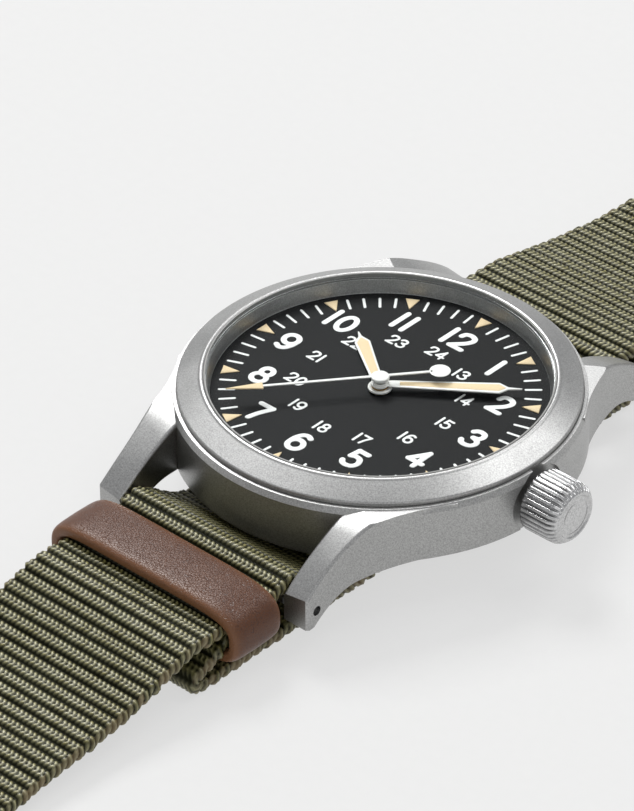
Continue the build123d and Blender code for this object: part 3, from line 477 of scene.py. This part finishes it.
def blade(stations, low, high, angle, ease=0.05):
    """Flat blade: half widths interpolated between stations, top edges eased, both ends closed."""
    s = np.array(stations, float)
    d = np.unique(np.r_[np.linspace(s[0, 0], s[-1, 0], 60), s[:, 0]])
    w = np.interp(d, s[:, 0], s[:, 1])
    rings = []
    section = [(-1, 0, low), (-1, 0, high - ease), (-1, ease * 0.4, high - ease * 0.3)]
    section += [(-1, ease, high), (1, ease, high), (1, ease * 0.4, high - ease * 0.3)]
    section += [(1, 0, high - ease), (1, 0, low)]
    for share, inset, z in section:
        rings.append(np.stack([share * np.maximum(w - inset, 0), d, np.full(len(d), z)], -1))
    grid = np.stack(rings, 1)
    middle = (low + high) / 2
    caps = [np.tile([[0.0, y, middle]], (1, 8, 1)).reshape(1, 8, 3) for y in (d[0], d[-1])]
    return np.concatenate([caps[0], grid, caps[1]]) @ turned_by(angle)


hand_paint = printed("white_hand_lacquer", "#f4f3ef", "#e9e8e3", 0.3)
hour_angle, minute_angle, seconds_angle = 305.2, 51.9, 219.4
hour_low, minute_low, seconds_low = dial_z + 0.22, dial_z + 0.64, 11.48

rim = [(0.6, 0.5), (1.6, 0.54), (7.3, 0.74), (8.2, 0.17), (8.95, 0.06)]
fill = [(1.9, 0.36), (7.2, 0.54), (7.95, 0.02)]
low, high = hour_low - 0.02, hour_low + 0.18
pipe = lathe(rounded([(0.77, low), (1.12, low), (1.12, high), (0.77, high)], 0.06), 96)
body = blade(rim, hour_low, hour_low + 0.15, hour_angle)
hour_blade = piece("hour_hand_blade", [(body, True, False), (pipe, True, True)], hand_paint)
body = blade(fill, hour_low + 0.1, hour_low + 0.17, hour_angle, 0.03)
hour_fill = piece("hour_hand_fill", [(body, True, False)], cream)
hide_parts("hour_hand")
for part in (hour_blade, hour_fill):
    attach(part, "hour_part")

rim = [(0.4, 0.42), (1.3, 0.5), (10.85, 0.79), (11.65, 0.17), (12.9, 0.07)]
fill = [(1.8, 0.3), (10.8, 0.53), (11.45, 0.02)]
pipe = [(0.46, -0.14), (0.7, -0.14), (0.84, 0.02), (0.84, 0.16), (0.66, 0.2), (0.62, 0.3),
    (0.46, 0.3)]
pipe = lathe(rounded([(r, minute_low + z) for r, z in pipe], 0.05), 96)
body = blade(rim, minute_low, minute_low + 0.12, minute_angle)
minute_blade = piece("minute_hand_blade", [(body, True, False), (pipe, True, True)], hand_paint)
body = blade(fill, minute_low + 0.08, minute_low + 0.135, minute_angle, 0.03)
minute_fill = piece("minute_hand_fill", [(body, True, False)], cream)
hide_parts("minute_hand")
for part in (minute_blade, minute_fill):
    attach(part, "minute_part")

disc_at = np.array([0.0, 5.5, 0.0]) @ turned_by(seconds_angle + 180)
cap = rounded([(0.0, 11.61), (0.1, 11.61), (0.12, 11.59), (0.16, 11.6), (0.7, 11.6), (0.86, 11.52),
    (0.86, 11.26), (0.7, 11.14), (0.4, 11.12), (0.17, 11.12), (0.0, 11.12)], 0.07)
tail_disc = [(0.0, 0.1), (0.9, 0.1), (1.0, 0.05), (0.9, 0.0), (0.0, 0.0)]
tail_disc = rounded([(r, seconds_low + z) for r, z in tail_disc], 0.05)
low, high = seconds_low, seconds_low + 0.1
seconds_blade = piece(
    "seconds_hand_blade",
    [
        (blade([(0.0, 0.16), (10.9, 0.14)], low, high, seconds_angle, 0.03), True, False),
        (blade([(0.0, 0.16), (4.8, 0.15)], low, high, seconds_angle + 180, 0.03), True, False),
        (lathe(cap, 96), True, False),
        (lathe(tail_disc, 96) + disc_at, True, False),
    ],
    hand_paint,
)
tip = [(10.7, 0.42), (10.75, 0.48), (14.1, 0.03)]
body = blade(tip, seconds_low + 0.005, seconds_low + 0.12, seconds_angle, 0.03)
seconds_tip = piece("seconds_hand_tip", [(body, True, False)], cream)
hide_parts("seconds_hand")
for part in (seconds_blade, seconds_tip):
    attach(part, "seconds_part")

# ---- Round case ----------------------------------------------------------------------
# Milled from one blank of stainless steel with its four horns, then bead-blasted, which
# leaves a fine sparkling grain. The back is turned and screwed in from below.
blasted = metal("bead_blasted_steel", "#b9b9b8", "#939392", 0.38, 0.13, 0.006)
turned_steel = metal("circular_turned_steel", "#c4c3c1", "#a3a2a0", 0.3, 0.14, 0.006)
dress(blasted, "case_body")
dress(turned_steel, "case_back", "crown_tube")
seal, tree = blank("black_nitrile_seal")
place = add(tree, "ShaderNodeTexCoord").outputs["Object"]
mottle = add(tree, "ShaderNodeTexNoise", {"Vector": place, "Scale": 3000.0})
black = add(tree, "ShaderNodeMix", {"Factor": mottle.outputs["Fac"], "A": linear("#141414"),
    "B": linear("#202020")}, data_type="RGBA")
rubber = add(tree, "ShaderNodeBsdfPrincipled",
    {"Base Color": black.outputs["Result"], "Roughness": 0.7})
add(tree, "ShaderNodeOutputMaterial", {"Surface": rubber.outputs["BSDF"]})
dress(seal, "case_back_gasket")

# ---- Rehaut, bezel and crystal -------------------------------------------------------
# The finely blasted steel rehaut stands round the dial. The bezel is turned, blasted and
# snapped over the band; its inner lip grips the flat mineral glass in a thin grey seal.
rehaut_steel = metal("fine_blasted_rehaut_steel", "#c9c9c8", "#a4a4a3", 0.42, 0.13, 0.008)
wall = [(15.46, 10.03), (15.5, 10.06), (15.71, 11.4), (15.74, 11.44), (16.38, 11.44),
    (16.38, 10.03)]
rehaut = piece("rehaut_wall", [(lathe(rounded(wall, 0.03)), True, True)], rehaut_steel)
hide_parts("rehaut_ring")
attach(rehaut, "watch_head")
ring = [(16.02, 11.66), (16.02, 11.9), (16.05, 11.97), (16.2, 12.02), (16.36, 11.98), (16.5, 11.88),
    (18.42, 10.98), (18.5, 10.9), (18.5, 10.48), (18.46, 10.43), (16.47, 10.43), (16.47, 11.48),
    (15.74, 11.48), (15.74, 11.63), (16.0, 11.63)]
bezel = piece("bezel_ring", [(lathe(rounded(ring, 0.09, 6)), True, True)], blasted)
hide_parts("bezel")
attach(bezel, "watch_head")

glass, tree = blank("flat_mineral_glass")
place = add(tree, "ShaderNodeTexCoord").outputs["Object"]
haze = add(tree, "ShaderNodeTexNoise", {"Vector": place, "Scale": 300.0})
gloss = add(tree, "ShaderNodeMapRange", {"Value": haze.outputs["Fac"], "To Min": 0.01,
    "To Max": 0.03})
shine = add(tree, "ShaderNodeBsdfGlossy",
    {"Roughness": gloss.outputs["Result"], "Color": (1, 1, 1, 1)})
clear = add(tree, "ShaderNodeBsdfTransparent", {"Color": linear("#fdfefe")})
edge = add(tree, "ShaderNodeFresnel", {"IOR": 1.03})
mixed = add(tree, "ShaderNodeMixShader",
    {0: edge.outputs["Fac"], 1: clear.outputs["BSDF"], 2: shine.outputs["BSDF"]})
add(tree, "ShaderNodeOutputMaterial", {"Surface": mixed.outputs["Shader"]})
dress(glass, "crystal")
grey_seal = printed("translucent_grey_seal", "#8b8b88", "#7c7c79", 0.4)
dress(grey_seal, "crystal_gasket")

# ---- Winding crown -------------------------------------------------------------------
# Turned steel knob with knurled teeth round its rim, bevelled to a dished plain face; it
# screws onto the winding stem and slides over the pressed-in tube.
teeth, tooth_depth, crown_z = 34, 0.42, 7.3
spin = np.linspace(0, 2 * np.pi, teeth * 16, endpoint=False)
tooth = np.abs(((spin * teeth / (2 * np.pi)) % 1) * 2 - 1)
groove = 1 - np.clip((tooth - 0.22) / 0.3, 0, 1)
stations = [(19.12, 0.0, 0.3), (19.12, 2.6, 0.0), (19.2, 2.86, 0.1), (19.34, 2.98, 0.9),
    (19.5, 3.0, 1.0), (21.6, 3.0, 1.0), (22.3, 2.99, 1.0), (22.5, 2.95, 0.95), (22.72, 2.84, 0.7),
    (22.95, 2.66, 0.3), (23.16, 2.48, 0.05), (23.26, 2.34, 0.0), (23.29, 2.22, 0.0),
    (23.28, 2.14, 0.0), (23.2, 2.08, 0.0), (23.14, 2.02, 0.0), (23.12, 1.9, 0.0),
    (23.12, 1.72, 0.0), (23.18, 1.64, 0.0), (23.18, 1.5, 0.0), (23.12, 1.42, 0.0),
    (23.13, 0.7, 0.0), (23.15, 0.0, 0.0)]
x, r, cut = np.array(stations)[1:].T
rim = r[:, None] - tooth_depth * cut[:, None] * groove
x = np.repeat(x[:, None], len(spin), 1)
knob = np.stack([x, rim * np.cos(spin), crown_z + rim * np.sin(spin)], -1)
back_wall = [(19.12, 2.6), (19.12, 1.32), (21.3, 1.31), (21.3, 0.0)]
x, r = np.array(back_wall).T
r = r[:, None]
x = np.repeat(x[:, None], len(spin), 1)
inner = np.stack([x, r * np.cos(spin), crown_z + r * np.sin(spin)], -1)
knurled = metal("satin_knurled_steel", "#cfcfcf", "#b2b2b2", 0.25, 0.2, 0.003)
crown = piece("knurled_crown", [(knob, True, False), (inner, True, False)], knurled)
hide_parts("crown")
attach(crown, "crown_part")

# ---- Spring bars ---------------------------------------------------------------------
# Drawn steel tubes with a sprung pin in each end. Each pin has a thin nose that seats in a
# drilled horn and is pressed in to take the bar out.
drawn = metal("drawn_steel", "#bdbdbd", "#a2a2a2", 0.3, 0.1, 0.003, (0.2, 1, 1))
dress(drawn, "spring_bar_tubes", "bar_pin_12_crown", "bar_pin_12_far", "bar_pin_6_crown",
    "bar_pin_6_far")

# ---- Webbing strap -------------------------------------------------------------------
# Olive nylon webbing, woven narrow and thick: heavy picks raise ribs across the band every
# 1.35 mm, and pairs of warp floats slant over each rib like rows of small grains. The
# long strap runs over the far bar, under the case, over the near bar and on to the tail;
# the short one is sewn to it and folded round the leather loop.
strap_width, strap_thick = 19.7, 1.25
bar_y, bar_z, wrap = 22.4, 4.2, 1.575
rib_pitch, yarn_pitch = 1.347, 0.52


def bend(cy, cz, radius, a0, a1, count):
    """Points of an arc about (cy, cz) from angle a0 to a1 in even steps."""
    a = np.radians(np.linspace(a0, a1, count))
    return [(cy + radius * np.cos(t), cz + radius * np.sin(t)) for t in a]


def webbing(name, line, start=0.0, fine=True, cut_tip=0.0, holes=(), hole_radius=0.0):
    """Closed band along a (y, z) line. Height over the flat band = flat-topped rib along the
    length times a slanted grain across it, mirrored at the rib's crest; the edges swell once a
    rib. The object keeps the length reached, so that the next piece carries the ribs on."""
    track = flow(line, 0.125 if fine else 0.25)
    run = np.r_[0, np.cumsum(np.linalg.norm(np.diff(track, axis=0), axis=1))] + start
    way = np.gradient(track, axis=0)
    way /= np.linalg.norm(way, axis=1)[:, None]
    normal = np.stack([-way[:, 1], way[:, 0]], -1)
    if line[-1][0] < line[0][0]:
        normal = -normal
    edge, half, deep = 0.5, strap_width / 2, strap_thick / 2
    yarns = (strap_width - 2 * edge) / yarn_pitch
    across = np.linspace(-(half - edge), half - edge, int(yarns * (5 if fine else 3)) + 1)
    below = np.linspace(half - edge, -(half - edge), int(yarns * (2.5 if fine else 2)) + 1)
    arc = np.linspace(0, np.pi, 13 if fine else 9)[1:-1]
    x = np.r_[across, half - edge + edge * np.sin(arc), below, -(half - edge) - edge * np.sin(arc)]
    n = np.r_[np.full(len(across), deep), deep * np.cos(arc), np.full(len(below), -deep),
        -deep * np.cos(arc)]
    nx = np.r_[0 * across, np.sin(arc), 0 * below, -np.sin(arc)]
    nn = np.r_[0 * across + 1, np.cos(arc), 0 * below - 1, -np.cos(arc)]
    s, xx = run[:, None], x[None, :]
    rng = np.random.default_rng(7)
    wobble = rng.normal(0, 1, (400, 64))
    rib_no = np.floor(s / rib_pitch).astype(int)
    local = s / rib_pitch - rib_no - 0.5
    crest = 1 - np.abs(2 * local) ** 3.4
    slip = 0.5 * (rib_no % 2) + 0.06 * wobble[rib_no % 400, 3]
    slant = xx / yarn_pitch + 0.75 * np.abs(2 * local) + slip
    yarn_no = np.floor(slant).astype(int)
    grain = np.abs(np.sin(np.pi * slant)) ** 0.75
    seam = np.exp(-((local / 0.07) ** 2))
    jitter = wobble[rib_no % 400, yarn_no % 64]
    height = -0.46 * (1 - crest) - 0.13 * (1 - grain) * crest
    height = height - 0.05 * seam * crest + 0.012 * jitter * crest + 0.06
    rim_share = np.sqrt(np.clip((np.abs(xx) - (half - edge)) / edge, 0, 1)) + 0 * s
    lean = np.sign(xx) * np.where(n[None, :] < 0, 1, -1) * (1 - np.abs(n[None, :]) / deep)
    braid = s / rib_pitch * 2 + 0.45 * lean
    strand = np.abs(np.sin(np.pi * braid)) ** 0.7
    swell = 0.5 + 0.5 * np.cos(2 * np.pi * s / rib_pitch + np.pi)
    edge_height = -0.3 + 0.22 * strand + 0.16 * swell + 0.04 * jitter
    height = height * (1 - rim_share) + rim_share * edge_height
    offset = n[None, :, None] + (nn[None, :] * height)[..., None]
    yz = track[:, None, :] + normal[:, None, :] * offset
    grid = np.concatenate([(xx + nx[None, :] * height)[..., None], yz], -1)
    # Painted shade and highlight: this colour mark is low in the valleys between ribs, between
    # yarns and along each crest's seam, and high on crests and yarn tops, in place of the shade and
    # light the relief would catch; at the edges it paints shade between the braided strands.
    shade = np.clip(crest * (0.25 + 0.75 * grain) - 0.25 * seam, 0, 1)
    shade = shade * (1 - rim_share) + rim_share * (0.1 + 0.75 * strand)
    tone = np.clip(0.5 + 0.2 * jitter, 0, 1)
    strand_tone = 0.5 + 0.5 * wobble[np.floor(braid).astype(int) % 400, 9]
    thread = rim_share * np.clip(strand_tone, 0, 1)
    if cut_tip:
        gap = np.clip((cut_tip - (run[-1] - s)) / cut_tip, 0, 1)
        squeeze = np.sqrt(np.clip(1 - 0.97 * gap**2.6, 0, 1))
        grid[..., 0] *= squeeze
    ends = (grid[:1], grid[-1:])
    first, last = (np.repeat(end.mean(1, keepdims=True), grid.shape[1], 1) for end in ends)
    grid = np.concatenate([first, grid, last])
    marks = {"painted_relief_shade": shade, "tone": tone, "rim": thread}
    marks = {key: np.vstack([mark[:1], mark, mark[-1:]]) for key, mark in marks.items()}
    thing = piece(name, [(grid, True, False)], nylon, marks, holes, hole_radius)
    thing["run"] = float(run[-1])
    return thing


# The nylon's colour carries painted shade in the rib valleys and painted highlight on the crests,
# read from the relief-shading mark; tone and rim add random yarn and edge-thread tones.
nylon, tree = blank("olive_ribbed_nylon")
place = add(tree, "ShaderNodeTexCoord").outputs["Object"]
painted_relief_shade = add(tree, "ShaderNodeAttribute", attribute_name="painted_relief_shade").outputs["Fac"]
tone = add(tree, "ShaderNodeAttribute", attribute_name="tone").outputs["Fac"]
rim_mark = add(tree, "ShaderNodeAttribute", attribute_name="rim").outputs["Fac"]
drawn_out = add(tree, "ShaderNodeMapping",
    {"Vector": place, "Scale": (1, 0.3, 1)}).outputs["Vector"]
filament = add(tree, "ShaderNodeTexNoise", {"Vector": drawn_out, "Scale": 16000.0, "Detail": 2.0})
# Painted shade to painted highlight: near-black olive in the valleys up to light khaki on the
# crests; the specular level below is also lowered where the painted shade is dark.
ramp = add(tree, "ShaderNodeValToRGB", {"Fac": painted_relief_shade})
stops = ramp.color_ramp.elements
stops[0].position, stops[0].color = 0.0, linear("#12130b")
stops[1].position, stops[1].color = 1.0, linear("#b3ae86")
for position, code in ((0.42, "#28291a"), (0.74, "#656345")):
    stop = stops.new(position)
    stop.color = linear(code)
lighter = add(tree, "ShaderNodeMix", {"Factor": tone, "A": ramp.outputs["Color"],
    "B": linear("#8f8a63")}, data_type="RGBA", blend_type="SOFT_LIGHT")
brown = add(tree, "ShaderNodeMath", {0: rim_mark, 1: 0.6}, operation="MULTIPLY")
tan_edge = add(tree, "ShaderNodeMix", {"Factor": brown.outputs["Value"],
    "A": lighter.outputs["Result"], "B": linear("#7d6c50")}, data_type="RGBA")
sheen_level = add(tree, "ShaderNodeMapRange",
    {"Value": painted_relief_shade, "From Min": 0.3, "From Max": 0.9, "To Min": 0.05, "To Max": 0.75})
fibre = add(tree, "ShaderNodeBump", {"Height": filament.outputs["Fac"], "Strength": 0.5,
    "Distance": 0.00003})
cloth = add(tree, "ShaderNodeBsdfPrincipled",
    {"Base Color": tan_edge.outputs["Result"], "Roughness": 0.4, "Normal": fibre.outputs["Normal"],
    "Specular IOR Level": sheen_level.outputs["Result"]})
add(tree, "ShaderNodeOutputMaterial", {"Surface": cloth.outputs["BSDF"]})

upper = 1.925
slope = [(14.6, upper), (16.4, upper + 0.28), (18.2, upper + 1.17)]
under_line = [(-y, z) for y, z in slope[::-1]] + [(-8.0, upper), (0.0, upper), (8.0, upper)] + slope
over = [slope[-1], (19.9, 4.32)] + bend(bar_y, bar_z, wrap, 128, 84, 4)
far_line = over + [(24.6, 5.86), (27.0, 5.7), (30.9, 4.98), (35.7, 3.98), (40.5, 3.28), (44.4, 2.9),
    (48.6, 2.72), (54.0, 2.15), (59.0, upper), (62.0, upper)]
over = [slope[-1], (19.9, 4.32)] + bend(bar_y, bar_z, wrap, 128, 66, 5)
near_line = over + [(24.6, 5.2), (26.2, 5.06), (28.5, 5.1), (31.5, 5.16), (34.4, 5.2), (37.0, 4.6),
    (39.6, 3.85), (43.9, 2.87), (48.9, 2.3), (52.8, 1.9), (57.2, 1.35), (59.0, 1.2)]
near_line = [(-y, z) for y, z in near_line]
tail_line = [(59.0, 1.2), (61.5, 0.97), (64.0, 0.76), (68.0, 0.69), (80.0, 0.69), (120.0, 0.69),
    (171.9, 0.69)]
tail_line = [(-y, z) for y, z in tail_line]
lift_z = upper + 1.37
fold = 1.775
fold_line = [(62.0, upper), (66.5, upper), (68.4, upper + 0.35), (70.6, upper + 1.25),
    (73.0, lift_z), (86.0, lift_z), (91.0, 3.83)]
fold_line += bend(95.0, 2.4, fold, 90, -90, 9)
fold_line += [(92.0, 0.95), (87.0, 1.88), (80.0, 1.88), (71.7, 1.88)]

strap_far = webbing("strap_far_side", far_line)
strap_near = webbing("strap_near_side", near_line)
strap_under = webbing("strap_under_case", under_line, fine=False)
first_hole, hole_pitch, hole_radius = 156.0, 8.5, 1.3
holes = [(0.0, -(first_hole - hole_pitch * k)) for k in range(9)]
strap_tail = webbing("strap_tail", tail_line, start=strap_near["run"], fine=False, cut_tip=10.0,
    holes=holes, hole_radius=hole_radius)
strap_fold = webbing("strap_buckle_fold", fold_line, start=strap_far["run"], fine=False)

# each of the nine holes was burnt through with a hot punch, which left a hard melted lip
melted, tree = blank("heat_sealed_nylon")
place = add(tree, "ShaderNodeTexCoord").outputs["Object"]
blob = add(tree, "ShaderNodeTexNoise", {"Vector": place, "Scale": 3000.0, "Detail": 3.0})
seared = add(tree, "ShaderNodeMix", {"Factor": blob.outputs["Fac"], "A": linear("#23241a"),
    "B": linear("#3b3c2a")}, data_type="RGBA")
lumps = add(tree, "ShaderNodeBump", {"Height": blob.outputs["Fac"], "Strength": 0.5,
    "Distance": 0.00006})
crust = add(tree, "ShaderNodeBsdfPrincipled",
    {"Base Color": seared.outputs["Result"], "Roughness": 0.35, "Normal": lumps.outputs["Normal"]})
add(tree, "ShaderNodeOutputMaterial", {"Surface": crust.outputs["BSDF"]})
lip = rounded([(1.02, 0.25), (1.02, 1.15), (1.1, 1.34), (1.3, 1.38), (1.55, 1.3), (1.6, 1.1),
    (1.6, 0.28), (1.55, 0.08), (1.3, 0.01), (1.1, 0.05), (1.02, 0.25)], 0.05)
lips = [(lathe(lip, 40) + [x, y, 0.0], True, False) for x, y in holes]
eyelets = piece("strap_hole_lips", lips, melted)
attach(eyelets, "strap_6_end")

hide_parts("strap_12")
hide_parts("strap_6")
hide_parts("strap_under")
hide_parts("strap_6_outer")
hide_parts("strap_12_outer")
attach(strap_under, "watch_head")
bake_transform(strap_far)
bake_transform(strap_near)
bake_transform(strap_tail)
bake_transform(strap_fold)

lower = 0.68
middle_line = [(-16.5, lower), (0.0, lower), (16.5, lower)]
short_middle = webbing("short_strap_middle", middle_line, fine=False)
far_line = [(16.5, lower), (30.0, lower), (45.0, lower), (62.9, lower)]
short_far = webbing("short_strap_far", far_line, fine=False)
fold_top = 3.72
turn_line = bend(33.8, lower + 0.7, 0.7, -90, 90, 7)
short_line = [(16.5, lower), (24.0, lower), (29.0, lower)] + turn_line
short_line += [(32.4, 2.5), (30.6, 3.5), (28.8, fold_top), (24.5, fold_top)]
short_line = [(-y, z) for y, z in short_line]
short_near = webbing("short_strap_near", short_line, fine=False)
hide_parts("short_strap_under")
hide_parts("short_strap_12")
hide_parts("short_strap_6")
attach(short_middle, "watch_head")
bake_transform(short_far)
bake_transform(short_near)

# ---- Leather loops -------------------------------------------------------------------
# Bands of brown grained leather closed into loops round the webbing, edges rounded over,
# burnished and lighter where they rub; the one beside the case is held in the fold of the
# short strap, the other two keep the tail by the buckle.


def loop(name, y0, y1, low, high, half_width, thick):
    """Superellipse path in the XZ plane, from low to high, carrying a strip section whose outer
    face is crowned by 0.08 mm; worn marks its two edges."""
    t = np.linspace(0, 2 * np.pi, 260, endpoint=False)
    hw, hh = half_width - thick / 2, (high - low - thick) / 2
    bx = hw * np.sign(np.cos(t)) * np.abs(np.cos(t)) ** 0.3
    bz = hh * np.sign(np.sin(t)) * np.abs(np.sin(t)) ** 0.7
    line = flow(np.c_[np.r_[bx, bx[:1]], np.r_[bz, bz[:1]]], 0.2)[:-1]
    way = np.roll(line, -1, 0) - np.roll(line, 1, 0)
    way /= np.linalg.norm(way, axis=1)[:, None]
    normal = np.stack([way[:, 1], -way[:, 0]], -1)
    a = np.linspace(0, 2 * np.pi, 56, endpoint=False)
    half, deep = (y1 - y0) / 2, thick / 2
    sy = half * np.sign(np.cos(a)) * np.abs(np.cos(a)) ** 0.28
    sn = deep * np.sign(np.sin(a)) * np.abs(np.sin(a)) ** 0.62
    sn = sn + 0.08 * (1 - (sy / half) ** 2) * (np.sin(a) > 0)
    centre_z = (low + high) / 2
    xz = line[:, None, :] + normal[:, None, :] * sn[None, :, None]
    y = (y0 + y1) / 2 + np.broadcast_to(sy, xz.shape[:2])
    grid = np.stack([xz[..., 0], y, centre_z + xz[..., 1]], -1)
    worn = np.broadcast_to(np.abs(sy / half) ** 6, xz.shape[:2])
    thing = piece(name, [(grid, True, True)], hide, marks={"worn": worn})
    return thing


hide, tree = blank("brown_grained_leather")
place = add(tree, "ShaderNodeTexCoord").outputs["Object"]
worn = add(tree, "ShaderNodeAttribute", attribute_name="worn").outputs["Fac"]
pebble = add(tree, "ShaderNodeTexVoronoi", {"Vector": place, "Scale": 4200.0, "Randomness": 1.0},
    feature="DISTANCE_TO_EDGE")
crease = add(tree, "ShaderNodeMapRange",
    {"Value": pebble.outputs["Distance"], "From Min": 0.0, "From Max": 0.1})
pore = add(tree, "ShaderNodeTexNoise", {"Vector": place, "Scale": 5200.0, "Detail": 4.0,
    "Roughness": 0.6})
patch = add(tree, "ShaderNodeTexNoise", {"Vector": place, "Scale": 260.0, "Detail": 3.0})
brown = add(tree, "ShaderNodeMix", {"Factor": patch.outputs["Fac"], "A": linear("#482818"),
    "B": linear("#623d26")}, data_type="RGBA")
dark = add(tree, "ShaderNodeMix", {"Factor": crease.outputs["Result"], "A": linear("#3a1f13"),
    "B": brown.outputs["Result"]}, data_type="RGBA")
rubbed = add(tree, "ShaderNodeMix", {"Factor": worn, "A": dark.outputs["Result"],
    "B": linear("#765035")}, data_type="RGBA")
both = add(tree, "ShaderNodeMath", {0: crease.outputs["Result"], 1: pore.outputs["Fac"]},
    operation="ADD")
skin_bump = add(tree, "ShaderNodeBump", {"Height": both.outputs["Value"], "Strength": 0.5,
    "Distance": 0.00004})
leather = add(tree, "ShaderNodeBsdfPrincipled",
    {"Base Color": rubbed.outputs["Result"], "Roughness": 0.36,
    "Normal": skin_bump.outputs["Normal"], "Specular IOR Level": 0.32})
add(tree, "ShaderNodeOutputMaterial", {"Surface": leather.outputs["BSDF"]})

near_loop = loop("near_leather_loop", -31.2, -25.4, 1.42, 7.33, 11.5, 1.28)
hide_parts("strap_keeper")
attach(near_loop, "strap_6_part")
inner_loop = loop("buckle_loop_inner", 72.6, 77.6, 0.08, 6.4, 11.55, 1.18)
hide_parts("buckle_keeper_inner")
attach(inner_loop, "strap_12_end")
outer_loop = loop("buckle_loop_outer", 80.8, 85.8, 0.08, 6.4, 11.55, 1.18)
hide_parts("buckle_keeper_outer")
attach(outer_loop, "strap_12_end")

# ---- Pin buckle ----------------------------------------------------------------------
# Bent and welded steel wire, brushed satin; the tongue is pressed flat, curls round the
# rear bar in the strap's fold and rests on the front one.
satin = metal("satin_buckle_steel", "#c2c0bd", "#a5a3a0", 0.3, 0.14, 0.005)
dress(satin, "buckle_frame", "buckle_tongue")
